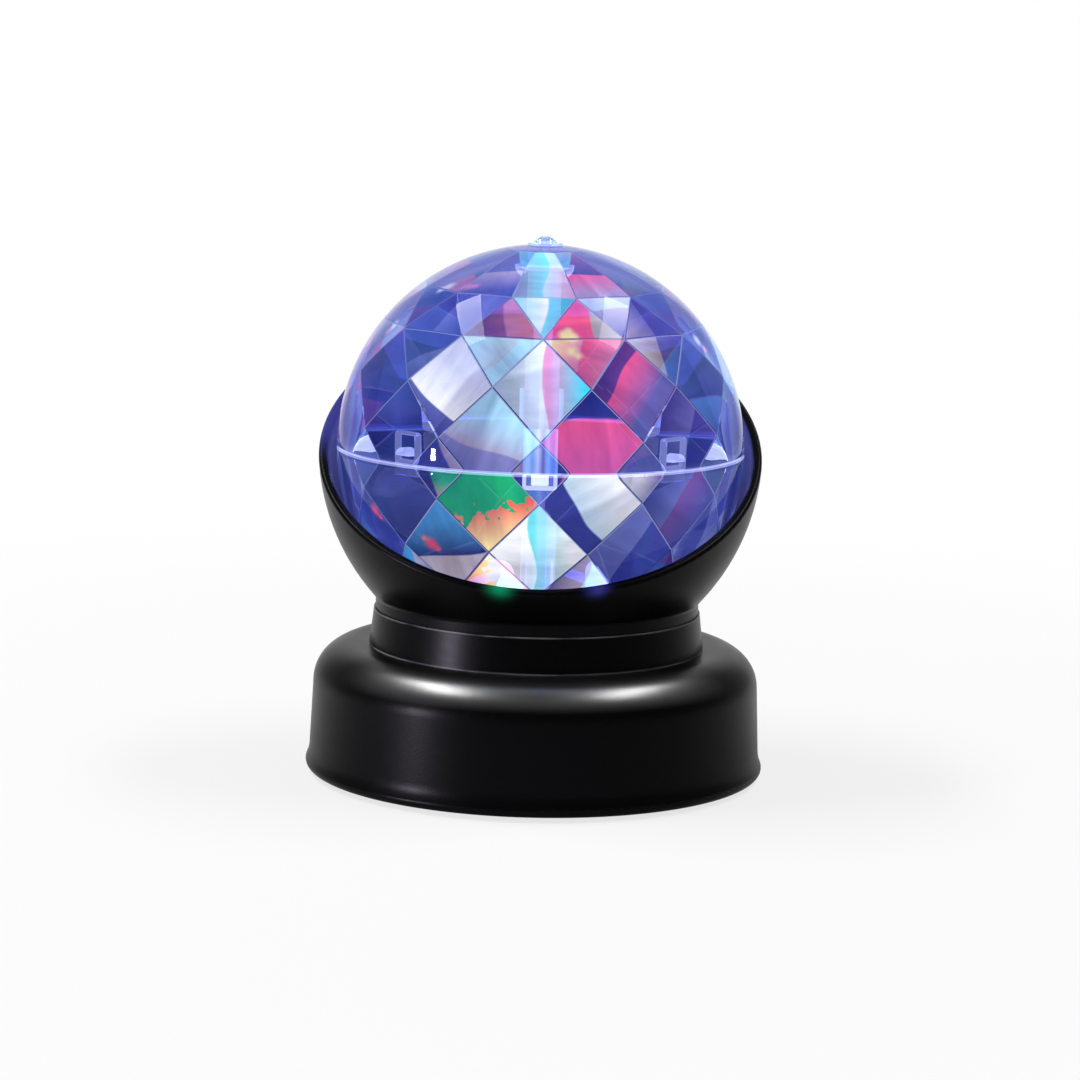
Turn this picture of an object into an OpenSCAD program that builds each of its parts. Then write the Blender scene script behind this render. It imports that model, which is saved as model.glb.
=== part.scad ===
// Table lamp with a turning faceted ball. Millimetres, +Z up, front towards -Y.
// The origin is on the table, under the middle of the base.

/* [Ball] */
// Outside diameter of the clear ball
ball_d = 90; // [86:1:94]
// Thinnest wall of the ball, at the corners between facets
ball_wall = 1.6; // [1.3:0.1:2.2]
// Facets in each ring round the ball
facets_round = 12; // [8:4:16]
// Rows of facet corners in each half, from the seam up
facet_rows = 4; // [3:1:4]
// Latitude step between rows of facet corners, in degrees
facet_step = 15; // [14:0.5:16]
// Latitude of the first row of facet corners, in degrees
facet_first = 8.5; // [7:0.5:10]
// Bevel on the outer edge of each half at the seam
seam_bevel = 0.4; // [0.2:0.1:0.6]
// Gap between the ball's open bottom and the light board
mouth_gap = 0.6; // [0.5:0.1:2]

/* [Column and stud] */
// Diameter of the clear column on the ball's axis
column_d = 6.4; // [5.6:0.2:8]
// Diameter of the socket inside the top of the ball
pole_socket_d = 11.2; // [10:0.2:13]
// Height of the socket inside the top of the ball
pole_socket_h = 4; // [3:0.1:6]
// Diameter of the flat pad on top of the ball
pole_pad_d = 7.8; // [7:0.2:9]
// Height of that pad above the ball
pole_pad_h = 0.4; // [0.2:0.1:0.8]
// Diameter of the stud head on top of the ball
stud_d = 5.4; // [4.6:0.2:6.4]
// Height of the stud head above its pad
stud_h = 1.5; // [1.2:0.1:2.4]
// Diameter of the stud's shank
stud_shank_d = 2.4; // [2:0.1:2.8]
// Length of the stud's shank
stud_shank_l = 6; // [5:0.5:10]

/* [Seam clips] */
// Large tabs that join the two halves, and as many small catches between them
clips = 4; // [2:1:4]
// Width of the large tabs
tab_w = 7.2; // [6:0.2:9]
// Height of the large tab's root above the seam
tab_root_h = 9; // [6:0.5:11]
// Reach of the large tab below the seam
tab_reach = 3.6; // [3.4:0.1:4.4]
// Width of the wedge that holds each large tab
wedge_w = 3.6; // [2.6:0.1:4]
// Height of that wedge
wedge_h = 1.6; // [1.2:0.1:1.8]
// Width of the small window catches
catch_w = 6.4; // [5.6:0.2:8]
// Height of the small window catches above the seam
catch_h = 6.4; // [5.8:0.2:7.4]
// Depth of the small catch's root below the seam
catch_root_h = 3; // [2:0.5:4]
// Thickness of tabs and catches
tab_t = 1.3; // [1:0.1:1.5]

/* [Bowl] */
// Running gap between ball and bowl
bowl_gap = 1.6; // [1.2:0.1:2.4]
// Wall of the bowl
bowl_wall = 2.4; // [2:0.1:3]
// Forward tilt of the bowl's rim, in degrees
rim_tilt = 31.5; // [24:0.5:36]
// Edge rounding of the rim
rim_round = 0.8; // [0.4:0.1:0.9]
// Fillet between the bowl and its neck
neck_fillet = 2.4; // [1:0.2:4]
// Thickness of the bowl's floor
floor_t = 2; // [1.6:0.1:2.6]
// Diameter of the bowl's screw bosses
bowl_boss_d = 5.8; // [5:0.2:6.4]

/* [Neck] */
// Diameter of the bowl's neck above the collar
neck_d = 71.8; // [70:0.2:76]
// Step from the neck down to the skirt inside the collar
skirt_step = 0.4; // [0.3:0.1:0.6]
// Neck height that shows above the collar
neck_show = 2.5; // [2:0.25:5]
// Height of the collar
collar_h = 8; // [7:0.1:10]
// Width of the collar's top edge
collar_edge = 0.7; // [0.5:0.1:1.2]
// How much wider the collar is at its foot, in radius
collar_spread = 0.95; // [0.4:0.05:1.4]

/* [Base] */
// Diameter of the flared foot
foot_d = 102; // [100:1:110]
// How far the foot flares past the drum
foot_flare = 0.85; // [0.4:0.05:1.6]
// Rounding of the foot's edge
foot_round = 1.4; // [1:0.1:2.4]
// Radius of the hollow curve above the foot
foot_hollow = 8; // [4:0.5:10]
// Drop in radius of the drum from foot to shoulder
drum_draft = 0.65; // [0.2:0.05:1.2]
// Height of the base without its feet
base_h = 27.8; // [26:0.2:32]
// Rounding of the base's shoulder
shoulder_r = 8.5; // [6:0.5:9]
// Wall of the base
base_wall = 2.2; // [1.8:0.1:2.8]
// Diameter of the posts that take the cover's screws
post_d = 6.4; // [5.6:0.2:7]
// Distance of those posts from the wall
post_inset = 2.1; // [1.8:0.1:3]
// Thickness of ribs inside the housing
rib_t = 1.4; // [1:0.1:2]
// Thickness of the bottom cover
cover_t = 2; // [1.8:0.1:2.4]
// How far the cover sits up inside the foot
cover_recess = 0.6; // [0.4:0.1:1]
// Height of the lip round the cover
lip_h = 2.4; // [1.5:0.1:4]
// Thickness of that lip
lip_t = 1.4; // [1:0.1:1.6]
// Diameter of each rubber foot
pad_d = 8; // [6:0.5:9]
// Thickness of each rubber foot
pad_h = 1.4; // [1.2:0.1:2.2]
// Distance of the rubber feet from the wall
pad_inset = 0.8; // [0.6:0.1:2]

/* [Batteries] */
// Number of cells side by side
cells = 3; // [2:1:3]
// Diameter of a cell
cell_d = 14.5; // [14.1:0.1:14.5]
// Length of a cell with its nub
cell_l = 50.5; // [49.5:0.1:50.5]
// Diameter of a cell's nub
nub_d = 5.5; // [5:0.1:5.8]
// Length of a cell's nub
nub_l = 1; // [0.8:0.1:1.4]
// Gap between neighbouring cells
cell_gap = 0.4; // [0.3:0.1:0.6]
// Wall of the battery box
box_wall = 1.2; // [1:0.1:1.6]
// Gap between the battery box and the motor behind it
box_gap = 1.3; // [1:0.1:2]
// Thickness of the contact plates
contact_t = 0.4; // [0.3:0.1:0.6]
// Length of a contact spring pressed by its cell
spring_l = 5.7; // [5:0.1:7]
// Diameter of a contact spring at its wide end
spring_wide_d = 9; // [8:0.2:10]
// Diameter of a contact spring at its narrow end
spring_narrow_d = 5.4; // [4.6:0.2:6.4]
// Diameter of the spring's wire
spring_wire = 0.7; // [0.5:0.1:0.8]
// Turns of a contact spring
spring_turns = 4; // [3:1:4]
// Thickness of the battery door
door_t = 1.8; // [1.6:0.1:2]
// Height of the ribs inside the battery door
door_rib_h = 0.6; // [0.3:0.1:0.7]
// Radius of the door's screw ears
ear_r = 4.5; // [4:0.1:5]
// Thickness of the door's screw ears
ear_t = 1.2; // [1:0.1:1.4]

/* [Drive] */
// Gear module
gear_module = 0.75; // [0.7:0.01:0.78]
// Teeth of the motor pinion
pinion_teeth = 14; // [14:1:16]
// Teeth of the ball's gear
ball_gear_teeth = 42; // [40:1:44]
// Thickness of the gears
gear_t = 3.4; // [2.6:0.1:4]
// Tooth thinning that gives the gears their play
backlash = 0.1; // [0.06:0.01:0.16]
// Diameter of the ball's shaft
shaft_d = 3; // [2.6:0.1:3.4]
// Length of the shaft inside the column
shaft_grip = 30; // [15:1:40]
// Diameter of the motor's shaft
motor_shaft_d = 3; // [2.4:0.1:3.4]
// Width of the geared motor
motor_w = 12; // [11:0.1:12]
// Depth of the geared motor
motor_depth = 10; // [9:0.1:10]
// Length of the motor's gearbox
gearbox_l = 9; // [8:0.5:10]
// Length of the motor's can
can_l = 11; // [9:0.5:11]
// Thickness of the plate that carries the motor
plate_t = 2; // [1.6:0.1:2.2]
// Height of the pivot boss under that plate
pivot_h = 3.9; // [3:0.1:4.5]
// Thickness of the washer under the ball's gear
washer_t = 0.5; // [0.3:0.1:0.8]
// Height of the gear's hub above its teeth
hub_h = 0.5; // [0.3:0.1:1]
// Thickness of the bush's flange
bush_flange_t = 1; // [0.8:0.1:1.4]

/* [Lights] */
// Diameter of the light board
board_d = 38; // [36:0.5:42]
// Thickness of the light board
board_t = 1.6; // [1.2:0.1:1.8]
// Diameter of each light
led_d = 5; // [4.6:0.1:5.4]
// Height of each light
led_h = 8.6; // [7:0.2:9]
// Radius of the ring of lights
led_ring_r = 13; // [12.6:0.1:13.4]
// Width of the flange round a light's foot
led_flange = 0.4; // [0.3:0.1:0.6]
// Height of that flange
led_flange_h = 1; // [0.8:0.1:1.4]

/* [Switch] */
// Height of the switch above the table
switch_z = 12.5; // [11.5:0.5:15]
// Travel of the switch from off to on
switch_travel = 4; // [3:0.1:5]
// Width of the switch knob
knob_w = 4.6; // [4:0.1:5]
// Height of the switch knob
knob_h = 3.2; // [2.6:0.1:3.6]
// How far the knob stands out of its pocket
knob_out = 1.7; // [1:0.1:2]
// Depth of the pocket round the knob
pocket_depth = 1; // [0.6:0.1:1.2]
// Border of the pocket round the knob's slot
pocket_border = 3; // [2:0.2:4]
// Thickness of the wall behind the pocket
seat_t = 3.2; // [2.8:0.1:4]
// Depth of the switch body
switch_depth = 7; // [6:0.5:9]
// Wall of the switch body
switch_wall = 0.9; // [0.7:0.1:1.2]
// Thickness of the switch's lid
switch_lid_t = 0.7; // [0.5:0.1:1]
// Thickness of the switch's screw ears
switch_ear_t = 1.2; // [1:0.1:1.5]
// Thickness of the slider's plate inside the switch
slider_t = 1.5; // [1.2:0.1:2]

/* [Hidden] */
$fn = 96;
// Finer steps for the thin-walled spheres
fine = 240;
// Overlap that makes cuts run through and joined shapes melt together
over = 1;
// Clearance of parts that fit together without moving
fit = 0.2;
// Clearance of a shaft in its bearing and of a screw in its hole
running = 0.05;
// Gap that moving parts keep from what is round them
moving_gap = 0.3;
// Play along the axis between a turning part and its seat
end_play = 0.1;

// Screws as shank diameter, head diameter, head height and length
cover_screw = [2.5, 5, 1.2, 12];
bowl_screw = [2.2, 4.6, 1.6, 6];
plate_screw = [2, 4, 1.4, 5.2];
motor_screw = [1.6, 3, 0.8, 3.2];
board_screw = [1.6, 3.2, 1, 3.4];
switch_screw = [1.8, 3.4, 1.2, 3.6];
door_screw = [2.2, 4.6, 0.9, 7];
// Cross slot of a screw: length and width as shares of the head, and depth as a share of its height
slot_share = [0.6, 0.14, 0.5];
// Room beyond a screw's tip
tip_room = 0.6;

// Heights, from the table up
rim_z = pad_h - cover_recess;
cover_z = pad_h;
cover_top = cover_z + cover_t;
base_top = rim_z + base_h;
collar_top = base_top + collar_h;
neck_top = collar_top + neck_show;
gear_z = base_top + washer_t + end_play;
floor_under = gear_z + gear_t + hub_h + moving_gap;
floor_z = floor_under + floor_t;
board_top = floor_z + board_t;

// Ball and bowl
ball_r = ball_d / 2;
facet_r = ball_r - ball_wall;
facet_turn = 360 / facets_round;
bowl_in = ball_r + bowl_gap;
bowl_out = bowl_in + bowl_wall;
neck_r = neck_d / 2;
ball_z = neck_top + sqrt(bowl_out^2 - neck_r^2);
mouth_z = board_top + mouth_gap;
skirt_r = neck_r - skirt_step;
chamber_r = skirt_r - bowl_wall;
// How far the fillet bites into the bowl and its neck
fillet_bite = 0.05;
// Side of a block larger than the bowl, used to cut it
beyond = 4 * bowl_out;

// Pole of the ball: socket, flange and the ring of facet corners round them
flange_t = 0.8;
flange_out = 1;
flange_d = pole_socket_d + 2 * flange_out;
pole_ring_r = flange_d / 2 + flange_out;
pole_flat = sqrt(facet_r^2 - pole_ring_r^2);
socket_z = pole_flat - pole_socket_h;
pole_top = ball_r + pole_pad_h;

// Seam clips, by the radius of their outer faces
clip_clear = 0.7;
clip_turn = 360 / clips;
tab_r = facet_r * cos(facet_first) * cos(facet_turn / 2) - clip_clear;
catch_r = tab_r - clip_clear;
wedge_z = -tab_reach / 2 - wedge_h / 2;
window_w = catch_w - 2 * tab_t;
window_h = catch_h - 2 * tab_t;
bump_d = window_w - 2 * fit;

// Column and shaft
bush_wall = 1.8;
bush_flange_w = 1.5;
bush_d = shaft_d + 2 * bush_wall;
bush_flange_d = bush_d + 2 * bush_flange_w;
column_z = floor_z + bush_flange_t + moving_gap;
column_top = ball_z + pole_flat - running;
shaft_top = column_z + shaft_grip;

// Drive: tooth heights are shares of the module, which keeps a small pinion free of undercut
pressure_angle = 20;
tooth_tip = 0.8 * gear_module;
tooth_root = 1.1 * gear_module;
gear_distance = gear_module * (pinion_teeth + ball_gear_teeth) / 2;
gear_rim = 2.5;
hub_wall = 3;
hub_d = shaft_d + 2 * hub_wall;
washer_w = 2.5;
washer_d = shaft_d + 2 * washer_w;
plate_z = base_top - plate_t;
plate_edge = 0.5;
plate_r = gear_distance + motor_depth / 2 + plate_edge;
top_hole_r = plate_r + 2 * moving_gap;
plate_ribs = [30, 150, 270];
pivot_wall = 3;
pivot_d = shaft_d + 2 * pivot_wall;
pivot_floor = 0.6;
shaft_z = plate_z - pivot_h + pivot_floor + moving_gap;
motor_screw_x = motor_w / 2 - motor_screw[1] / 2;
motor_bore_l = gearbox_l / 3;
gearbox_end_t = 1;
gearbox_inset = 0.8;
can_cap_h = 0.8;
can_cap_d = 6;
can_z = plate_z - gearbox_l - can_l;
motor_tag = [0.5, 1.6, 2];
motor_tag_x = 4.2;

// Screw places, as azimuths in degrees and radii
post_d_plate = 5.2;
plate_posts = [0, 180, 270];
plate_post_r = gear_module * ball_gear_teeth / 2 + tooth_tip + moving_gap + post_d_plate;
bowl_bosses = [30, 150, 270];
boss_sink = 0.6;
bowl_boss_r = chamber_r - bowl_boss_d / 2 + boss_sink;
cover_posts = [30, 150, 270];

// Base
foot_r = foot_d / 2;
drum_low = foot_r - foot_flare;
drum_high = drum_low - drum_draft;
shoulder_x = drum_high - shoulder_r;
shoulder_z = base_top - shoulder_r;
cavity_r = drum_high - base_wall;
cover_r = cavity_r - moving_gap;
cover_post_r = cavity_r - post_inset - post_d / 2;
bead_x = foot_r - foot_round;
bead_z = rim_z + foot_round;
hollow_x = drum_low + foot_hollow;
hollow_z = bead_z + sqrt((foot_round + foot_hollow)^2 - (hollow_x - bead_x)^2);
bead_share = foot_round / (foot_round + foot_hollow);
bead_end = [bead_x + bead_share * (hollow_x - bead_x), bead_z + bead_share * (hollow_z - bead_z)];
pad_r = cover_r - pad_inset - pad_d / 2;
pads = [55, 125, 217, 323];

// Battery box, its cells side by side along Y
cell_pitch = cell_d + cell_gap;
cell_lift = 0.8;
cell_z = cover_top + cell_lift + cell_d / 2;
box_in = [cell_l + spring_l + 2 * contact_t, cells * cell_pitch + cell_gap];
box_out = [box_in.x + 2 * box_wall, box_in.y + 2 * box_wall];
box_y = gear_distance - motor_depth / 2 - box_gap - box_out.y / 2;
box_roof = cell_z + cell_d / 2 + moving_gap;
box_top = box_roof + box_wall;
function cell_y(i) = box_y + (i - (cells - 1) / 2) * cell_pitch;
ridge = [20, 1, 3];
contact_trim = [2, 3];
contact = [contact_t, cell_d - contact_trim.x, cell_d - contact_trim.y];
door_ledge = 2.4;
door = [box_in.x - 2 * door_ledge, box_in.y - 2 * fit];
door_corner = 2;
door_rib_inset = 3;
door_rib_w = 1;
door_rib = [door.x - 2 * door_rib_inset, door_rib_w];
door_boss_d = 6;
door_boss_h = 6;
ear_x = box_out.x / 2 + door_boss_d / 2;

// Conical contact springs, each a wire of this many sides swept in this many steps a turn
spring_steps = 12;
spring_sides = 6;
spring_rise = spring_l - spring_wire - 2 * end_play;

// Lights, as azimuths in degrees
led_red_at = 120;
led_green_at = 240;
led_blue_at = 0;
resistors_at = [30, 150, 270];
resistor = [1.6, 3.2, 0.7];
board_hole_gap = 1;
board_hole_d = bush_flange_d + 2 * board_hole_gap;
board_screws_at = [60, 180, 300];
board_screw_r = board_d / 2 - board_screw[1];

// Switch, from the outer wall inwards
switch_face = drum_high - pocket_depth;
switch_seat = switch_face - seat_t;
knob_slot = [knob_w + switch_travel + 2 * moving_gap, knob_h + 2 * moving_gap];
pocket = [knob_slot.x + 2 * pocket_border, knob_slot.y + 2 * pocket_border];
slider_lap = 0.7;
slider = [knob_w + switch_travel, slider_t, knob_slot.y + 2 * slider_lap];
slider_room = [slider.x + switch_travel + 2 * moving_gap, slider_t + 2 * moving_gap, slider.z + 2 * fit];
slider_y = switch_seat - switch_lid_t - moving_gap - slider_t;
switch_body = [slider_room.x + 2 * switch_wall, switch_depth, slider_room.z + 2 * switch_wall];
switch_screw_x = switch_body.x / 2 + switch_screw[1] / 2 + fit;
switch_ear_x = switch_screw_x + switch_screw[1] / 2 + fit;
switch_tag = [0.8, 2.4, 1.6];
switch_tag_pitch = 3;
seat_border = 2;
knob_grooves = 3;
groove = [0.5, 0.4];

// Copies its children to a ring of places, by azimuth in degrees
module around(azimuths, r = 0) {
    for (a = azimuths)
        rotate(a) translate([r, 0, 0]) children();
}

// Copies its children to both sides of the YZ plane
module both_sides(x) {
    for (side = [-1, 1])
        translate([side * x, 0, 0]) children();
}

// Round rod or hole from z up by h
module rod(d, z, h) {
    translate([0, 0, z]) cylinder(d = d, h = h);
}

// Box centred in x and y, from z up
module slab(size, z) {
    translate([-size.x / 2, -size.y / 2, z]) cube(size);
}

// Plate with round corners, centred in x and y, from z up by h
module round_plate(size, corner, z, h) {
    inner = [size.x - 2 * corner, size.y - 2 * corner];
    slab([size.x, inner.y, h], z);
    slab([inner.x, size.y, h], z);
    for (x = [-1, 1], y = [-1, 1])
        translate([x * inner.x / 2, y * inner.y / 2, 0]) rod(2 * corner, z, h);
}

// Pan-head screw whose head sits under z and whose shank points up
module screw(size, z) {
    head = size[1];
    slot_depth = slot_share[2] * size[2];
    rod(size[0] - 2 * running, z, size[3]);
    difference() {
        rod(head, z - size[2], size[2]);
        for (turn = [0, 90])
            rotate(turn)
                slab([slot_share[0] * head, slot_share[1] * head, slot_depth + over], z - size[2] - over);
    }
}

// Hollow of the faceted ball: rings of flat triangles between corners on a sphere, then flat panels up to
// a ring round the pole. Row 1 has a corner straight ahead, and rows are turned half a facet against each
// other.
function facet_lat(row) =
    row > facet_rows ? acos(pole_ring_r / facet_r) : facet_first + (row - 1) * facet_step;
function facet_shift(row) = min(row, facet_rows) % 2 == 1 ? 0 : 0.5;
function facet_corner(row, k) =
    let (lat = facet_lat(row), az = (k + facet_shift(row)) * facet_turn - 90)
    facet_r * [cos(lat) * cos(az), cos(lat) * sin(az), sin(lat)];
function facet_id(row, k) = row * facets_round + k % facets_round;
function facet_pair(row, k) =
    let (a = facet_id(row, k), b = facet_id(row, k + 1))
    let (c = facet_id(row + 1, k), d = facet_id(row + 1, k + 1))
    facet_shift(row + 1) < facet_shift(row) ? [[b, a, d], [a, c, d]] : [[b, a, c], [b, c, d]];
module facet_hollow() {
    last = facets_round - 1;
    top = facet_rows + 1;
    polyhedron(
        points = [for (row = [0 : top], k = [0 : last]) facet_corner(row, k)],
        faces = concat(
            [[for (k = [0 : last]) facet_id(0, k)]],
            [for (row = [0 : top - 1], k = [0 : last], face = facet_pair(row, k)) face],
            [[for (k = [last : -1 : 0]) facet_id(top, k)]]));
}

// Upper half of the ball's wall with its seam at z = 0: round outside, faceted inside
module half_wall() {
    difference() {
        intersection() {
            sphere(ball_r, $fn = fine);
            rotate_extrude($fn = fine)
                polygon([[0, 0], [ball_r - seam_bevel, 0], [ball_r + over, seam_bevel + over],
                    [ball_r + over, ball_r + over], [0, ball_r + over]]);
        }
        facet_hollow();
    }
}

// Keeps clips inside the ball's wall
module inside_wall() {
    intersection() {
        sphere(ball_r - ball_wall / 2, $fn = fine);
        children();
    }
}

// Block facing the front, from radius r0 out to r1, from z up by h
module front_block(r0, r1, w, z, h) {
    translate([-w / 2, -r1, z]) cube([w, r1 - r0, h]);
}

// Copies its children to the large tabs, or half a turn between them to the small catches
module at_clips(shift) {
    around([for (i = [0 : clips - 1]) (i + shift) * clip_turn]) children();
}

module upper_dome() {
    color("#8d8fe0", 0.5) translate([0, 0, ball_z]) difference() {
        union() {
            half_wall();
            // Socket and flange that hold the column, and the pad under the stud
            rod(pole_socket_d, socket_z, pole_socket_h + over / 2);
            rod(flange_d, socket_z, flange_t);
            rod(pole_pad_d, pole_flat + over / 2, pole_top - pole_flat - over / 2);
            // Large tabs that reach down inside the lower half, each with a window
            at_clips(0) inside_wall() {
                front_block(tab_r - tab_t, ball_r, tab_w, 0, tab_root_h);
                difference() {
                    front_block(tab_r - tab_t, tab_r, tab_w, -tab_reach, tab_reach + over);
                    front_block(0, ball_r, wedge_w + 2 * fit, wedge_z - fit, wedge_h + 2 * fit);
                }
            }
            // Half-round bumps that stand in the small catches' windows
            at_clips(0.5) inside_wall() intersection() {
                translate([0, -catch_r + tab_t / 2, tab_t + fit]) rotate([90, 0, 0])
                    cylinder(d = bump_d, h = ball_r);
                front_block(0, ball_r, catch_w, tab_t + fit, catch_h);
            }
        }
        rod(column_d + 2 * running, socket_z - over, pole_socket_h + over);
        rod(stud_shank_d + 2 * running, 0, pole_top + over);
    }
}

module lower_dome() {
    mouth = mouth_z - ball_z;
    color("#8285dc", 0.5) translate([0, 0, ball_z]) {
        intersection() {
            mirror([0, 0, 1]) half_wall();
            slab([beyond, beyond, -mouth], mouth);
        }
        // Wedges that hold the large tabs
        at_clips(0) inside_wall() front_block(tab_r - tab_t / 2, ball_r, wedge_w, wedge_z, wedge_h);
        // Small window catches that stand up inside the upper half
        at_clips(0.5) {
            inside_wall() front_block(catch_r - tab_t, ball_r, catch_w, -catch_root_h, catch_root_h);
            difference() {
                front_block(catch_r - tab_t, catch_r, catch_w, -over, catch_h + over);
                front_block(0, ball_r, window_w, tab_t, window_h);
            }
        }
    }
}

module centre_column() {
    shank_z = ball_z + pole_top - stud_shank_l;
    color("#a9d8f0", 0.6) difference() {
        rod(column_d, column_z, column_top - column_z);
        rod(shaft_d + 2 * running, column_z - over, shaft_grip + over + running);
        rod(stud_shank_d + 2 * running, shank_z - tip_room, stud_shank_l);
    }
}

module top_stud() {
    head_r = (stud_d^2 / 4 + stud_h^2) / (2 * stud_h);
    color("#d9f0ea") translate([0, 0, ball_z + pole_top]) {
        intersection() {
            translate([0, 0, stud_h - head_r]) sphere(head_r);
            rod(stud_d, 0, stud_h);
        }
        rod(stud_shank_d, -stud_shank_l, stud_shank_l);
    }
}

module drive_shaft() {
    color("silver") rod(shaft_d, shaft_z, shaft_top - shaft_z);
}

// Involute spur gear: angles in degrees, first tooth along +X
flank_steps = 4;
function involute(a) = tan(a) * 180 / PI - a;
function polar(r, a) = r * [cos(a), sin(a)];
function tooth_half(r, pitch_r, teeth) =
    let (base_r = pitch_r * cos(pressure_angle), thin = backlash / 2 / pitch_r * 180 / PI)
    90 / teeth - thin + involute(pressure_angle) - (r > base_r ? involute(acos(base_r / r)) : 0);
function tooth_radii(pitch_r) =
    let (root = pitch_r - tooth_root, high = pitch_r + tooth_tip)
    let (low = max(root, pitch_r * cos(pressure_angle)))
    concat(root < low ? [root] : [], [for (i = [0 : flank_steps]) low + (high - low) * i / flank_steps]);
function tooth_flank(pitch_r, teeth, side) =
    [for (r = tooth_radii(pitch_r)) [r, side * tooth_half(r, pitch_r, teeth)]];
function reversed(list) = [for (i = [len(list) - 1 : -1 : 0]) list[i]];
function gear_outline(teeth) =
    let (pitch_r = gear_module * teeth / 2)
    [for (i = [0 : teeth - 1])
        for (p = concat(tooth_flank(pitch_r, teeth, -1), reversed(tooth_flank(pitch_r, teeth, 1))))
            polar(p[0], p[1] + i * 360 / teeth)];

module ball_gear() {
    web_d = gear_module * ball_gear_teeth - 2 * tooth_root - 2 * gear_rim;
    color("ivory") difference() {
        union() {
            translate([0, 0, gear_z]) rotate(90 + 180 / ball_gear_teeth)
                linear_extrude(gear_t) polygon(gear_outline(ball_gear_teeth));
            rod(hub_d, gear_z, gear_t + hub_h);
        }
        // Thin web between rim and hub
        difference() {
            rod(web_d, gear_z + gear_t / 2, gear_t);
            rod(hub_d, gear_z, 2 * gear_t);
        }
        rod(shaft_d, gear_z - over, gear_t + hub_h + 2 * over);
    }
}

module motor_pinion() {
    color("white") translate([0, gear_distance, 0]) difference() {
        translate([0, 0, gear_z + end_play]) rotate(270)
            linear_extrude(gear_t - 2 * end_play) polygon(gear_outline(pinion_teeth));
        rod(motor_shaft_d, gear_z - over, gear_t + 2 * over);
    }
}

module motor_shaft() {
    color("silver") translate([0, gear_distance, 0])
        rod(motor_shaft_d, plate_z - motor_bore_l, gear_z + gear_t - plate_z + motor_bore_l);
}

module motor_gearbox() {
    end = [motor_w, motor_depth, gearbox_end_t];
    block = [motor_w - 2 * gearbox_inset, motor_depth - 2 * gearbox_inset, gearbox_l - gearbox_end_t];
    color("goldenrod") translate([0, gear_distance, 0]) difference() {
        union() {
            // Two end plates with the wheels' block between them
            slab(end, plate_z - gearbox_end_t);
            slab(block, plate_z - gearbox_l + gearbox_end_t / 2);
            slab(end, plate_z - gearbox_l);
        }
        rod(motor_shaft_d + 2 * running, plate_z - motor_bore_l - moving_gap, gearbox_l);
        both_sides(motor_screw_x) rod(motor_screw[0], plate_z - motor_screw[3], motor_screw[3] + over);
    }
}

module motor_can() {
    color("#b9bcc2") translate([0, gear_distance, 0]) {
        intersection() {
            rod(motor_w, can_z + can_cap_h, can_l - can_cap_h);
            slab([motor_w, motor_depth, can_l], can_z);
        }
        // Rear bearing cap and its two solder tags
        rod(can_cap_d, can_z, can_l / 2);
        both_sides(motor_tag_x) slab(motor_tag, can_z + can_cap_h - motor_tag.z / 2);
    }
}

module motor_screws() {
    color("gray") translate([0, gear_distance, base_top - motor_screw[2]])
        both_sides(motor_screw_x) rotate([180, 0, 0]) screw(motor_screw, 0);
}

module motor_plate() {
    rib = [plate_post_r - plate_screw[1], rib_t, pivot_h / 2];
    color("#2b2b2e") difference() {
        union() {
            rod(2 * plate_r, plate_z, plate_t);
            rod(pivot_d, plate_z - pivot_h, pivot_h + plate_t / 2);
            // Ribs from the pivot boss towards the rim
            around(plate_ribs) translate([0, -rib.y / 2, plate_z - rib.z])
                cube([rib.x, rib.y, rib.z + plate_t / 2]);
        }
        rod(shaft_d + 2 * running, shaft_z - moving_gap, plate_z);
        translate([0, gear_distance, 0]) {
            rod(motor_shaft_d + 4 * moving_gap, plate_z - over, plate_t + 2 * over);
            both_sides(motor_screw_x) {
                rod(motor_screw[0], plate_z - over, plate_t + 2 * over);
                rod(motor_screw[1] + 2 * running, base_top - motor_screw[2], motor_screw[2] + over);
            }
        }
        around(plate_posts, plate_post_r) rod(plate_screw[0] + 2 * fit, plate_z - over, plate_t + 2 * over);
    }
}

module plate_screws() {
    color("gray") around(plate_posts, plate_post_r) screw(plate_screw, plate_z);
}

module thrust_washer() {
    color("white") difference() {
        rod(washer_d, base_top, washer_t);
        rod(shaft_d + 2 * fit, base_top - over, washer_t + 2 * over);
    }
}

module floor_bush() {
    color("#c9a24b") difference() {
        union() {
            rod(bush_d, floor_under, floor_t + bush_flange_t / 2);
            rod(bush_flange_d, floor_z, bush_flange_t);
        }
        rod(shaft_d + 2 * running, floor_under - over, floor_t + bush_flange_t + 2 * over);
    }
}

// Outline of the bowl about its tilted axis, filled in, with a rounded outer lip
module bowl_profile() {
    lip_x = sqrt((bowl_out - rim_round)^2 - rim_round^2);
    lip_end = -rim_round * bowl_out / (bowl_out - rim_round);
    intersection() {
        circle(bowl_out, $fn = fine);
        translate([0, -bowl_out]) square([bowl_out, bowl_out + lip_end]);
    }
    translate([lip_x, -rim_round]) circle(rim_round);
    translate([0, 2 * lip_end]) square([lip_x, -2 * lip_end]);
}

// Cone that bevels the lip's inner edge
module lip_bevel() {
    rotate_extrude($fn = fine) polygon([[0, -rim_round - over], [bowl_in - over, -rim_round - over],
        [bowl_in + rim_round + over, over], [0, over]]);
}

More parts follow.
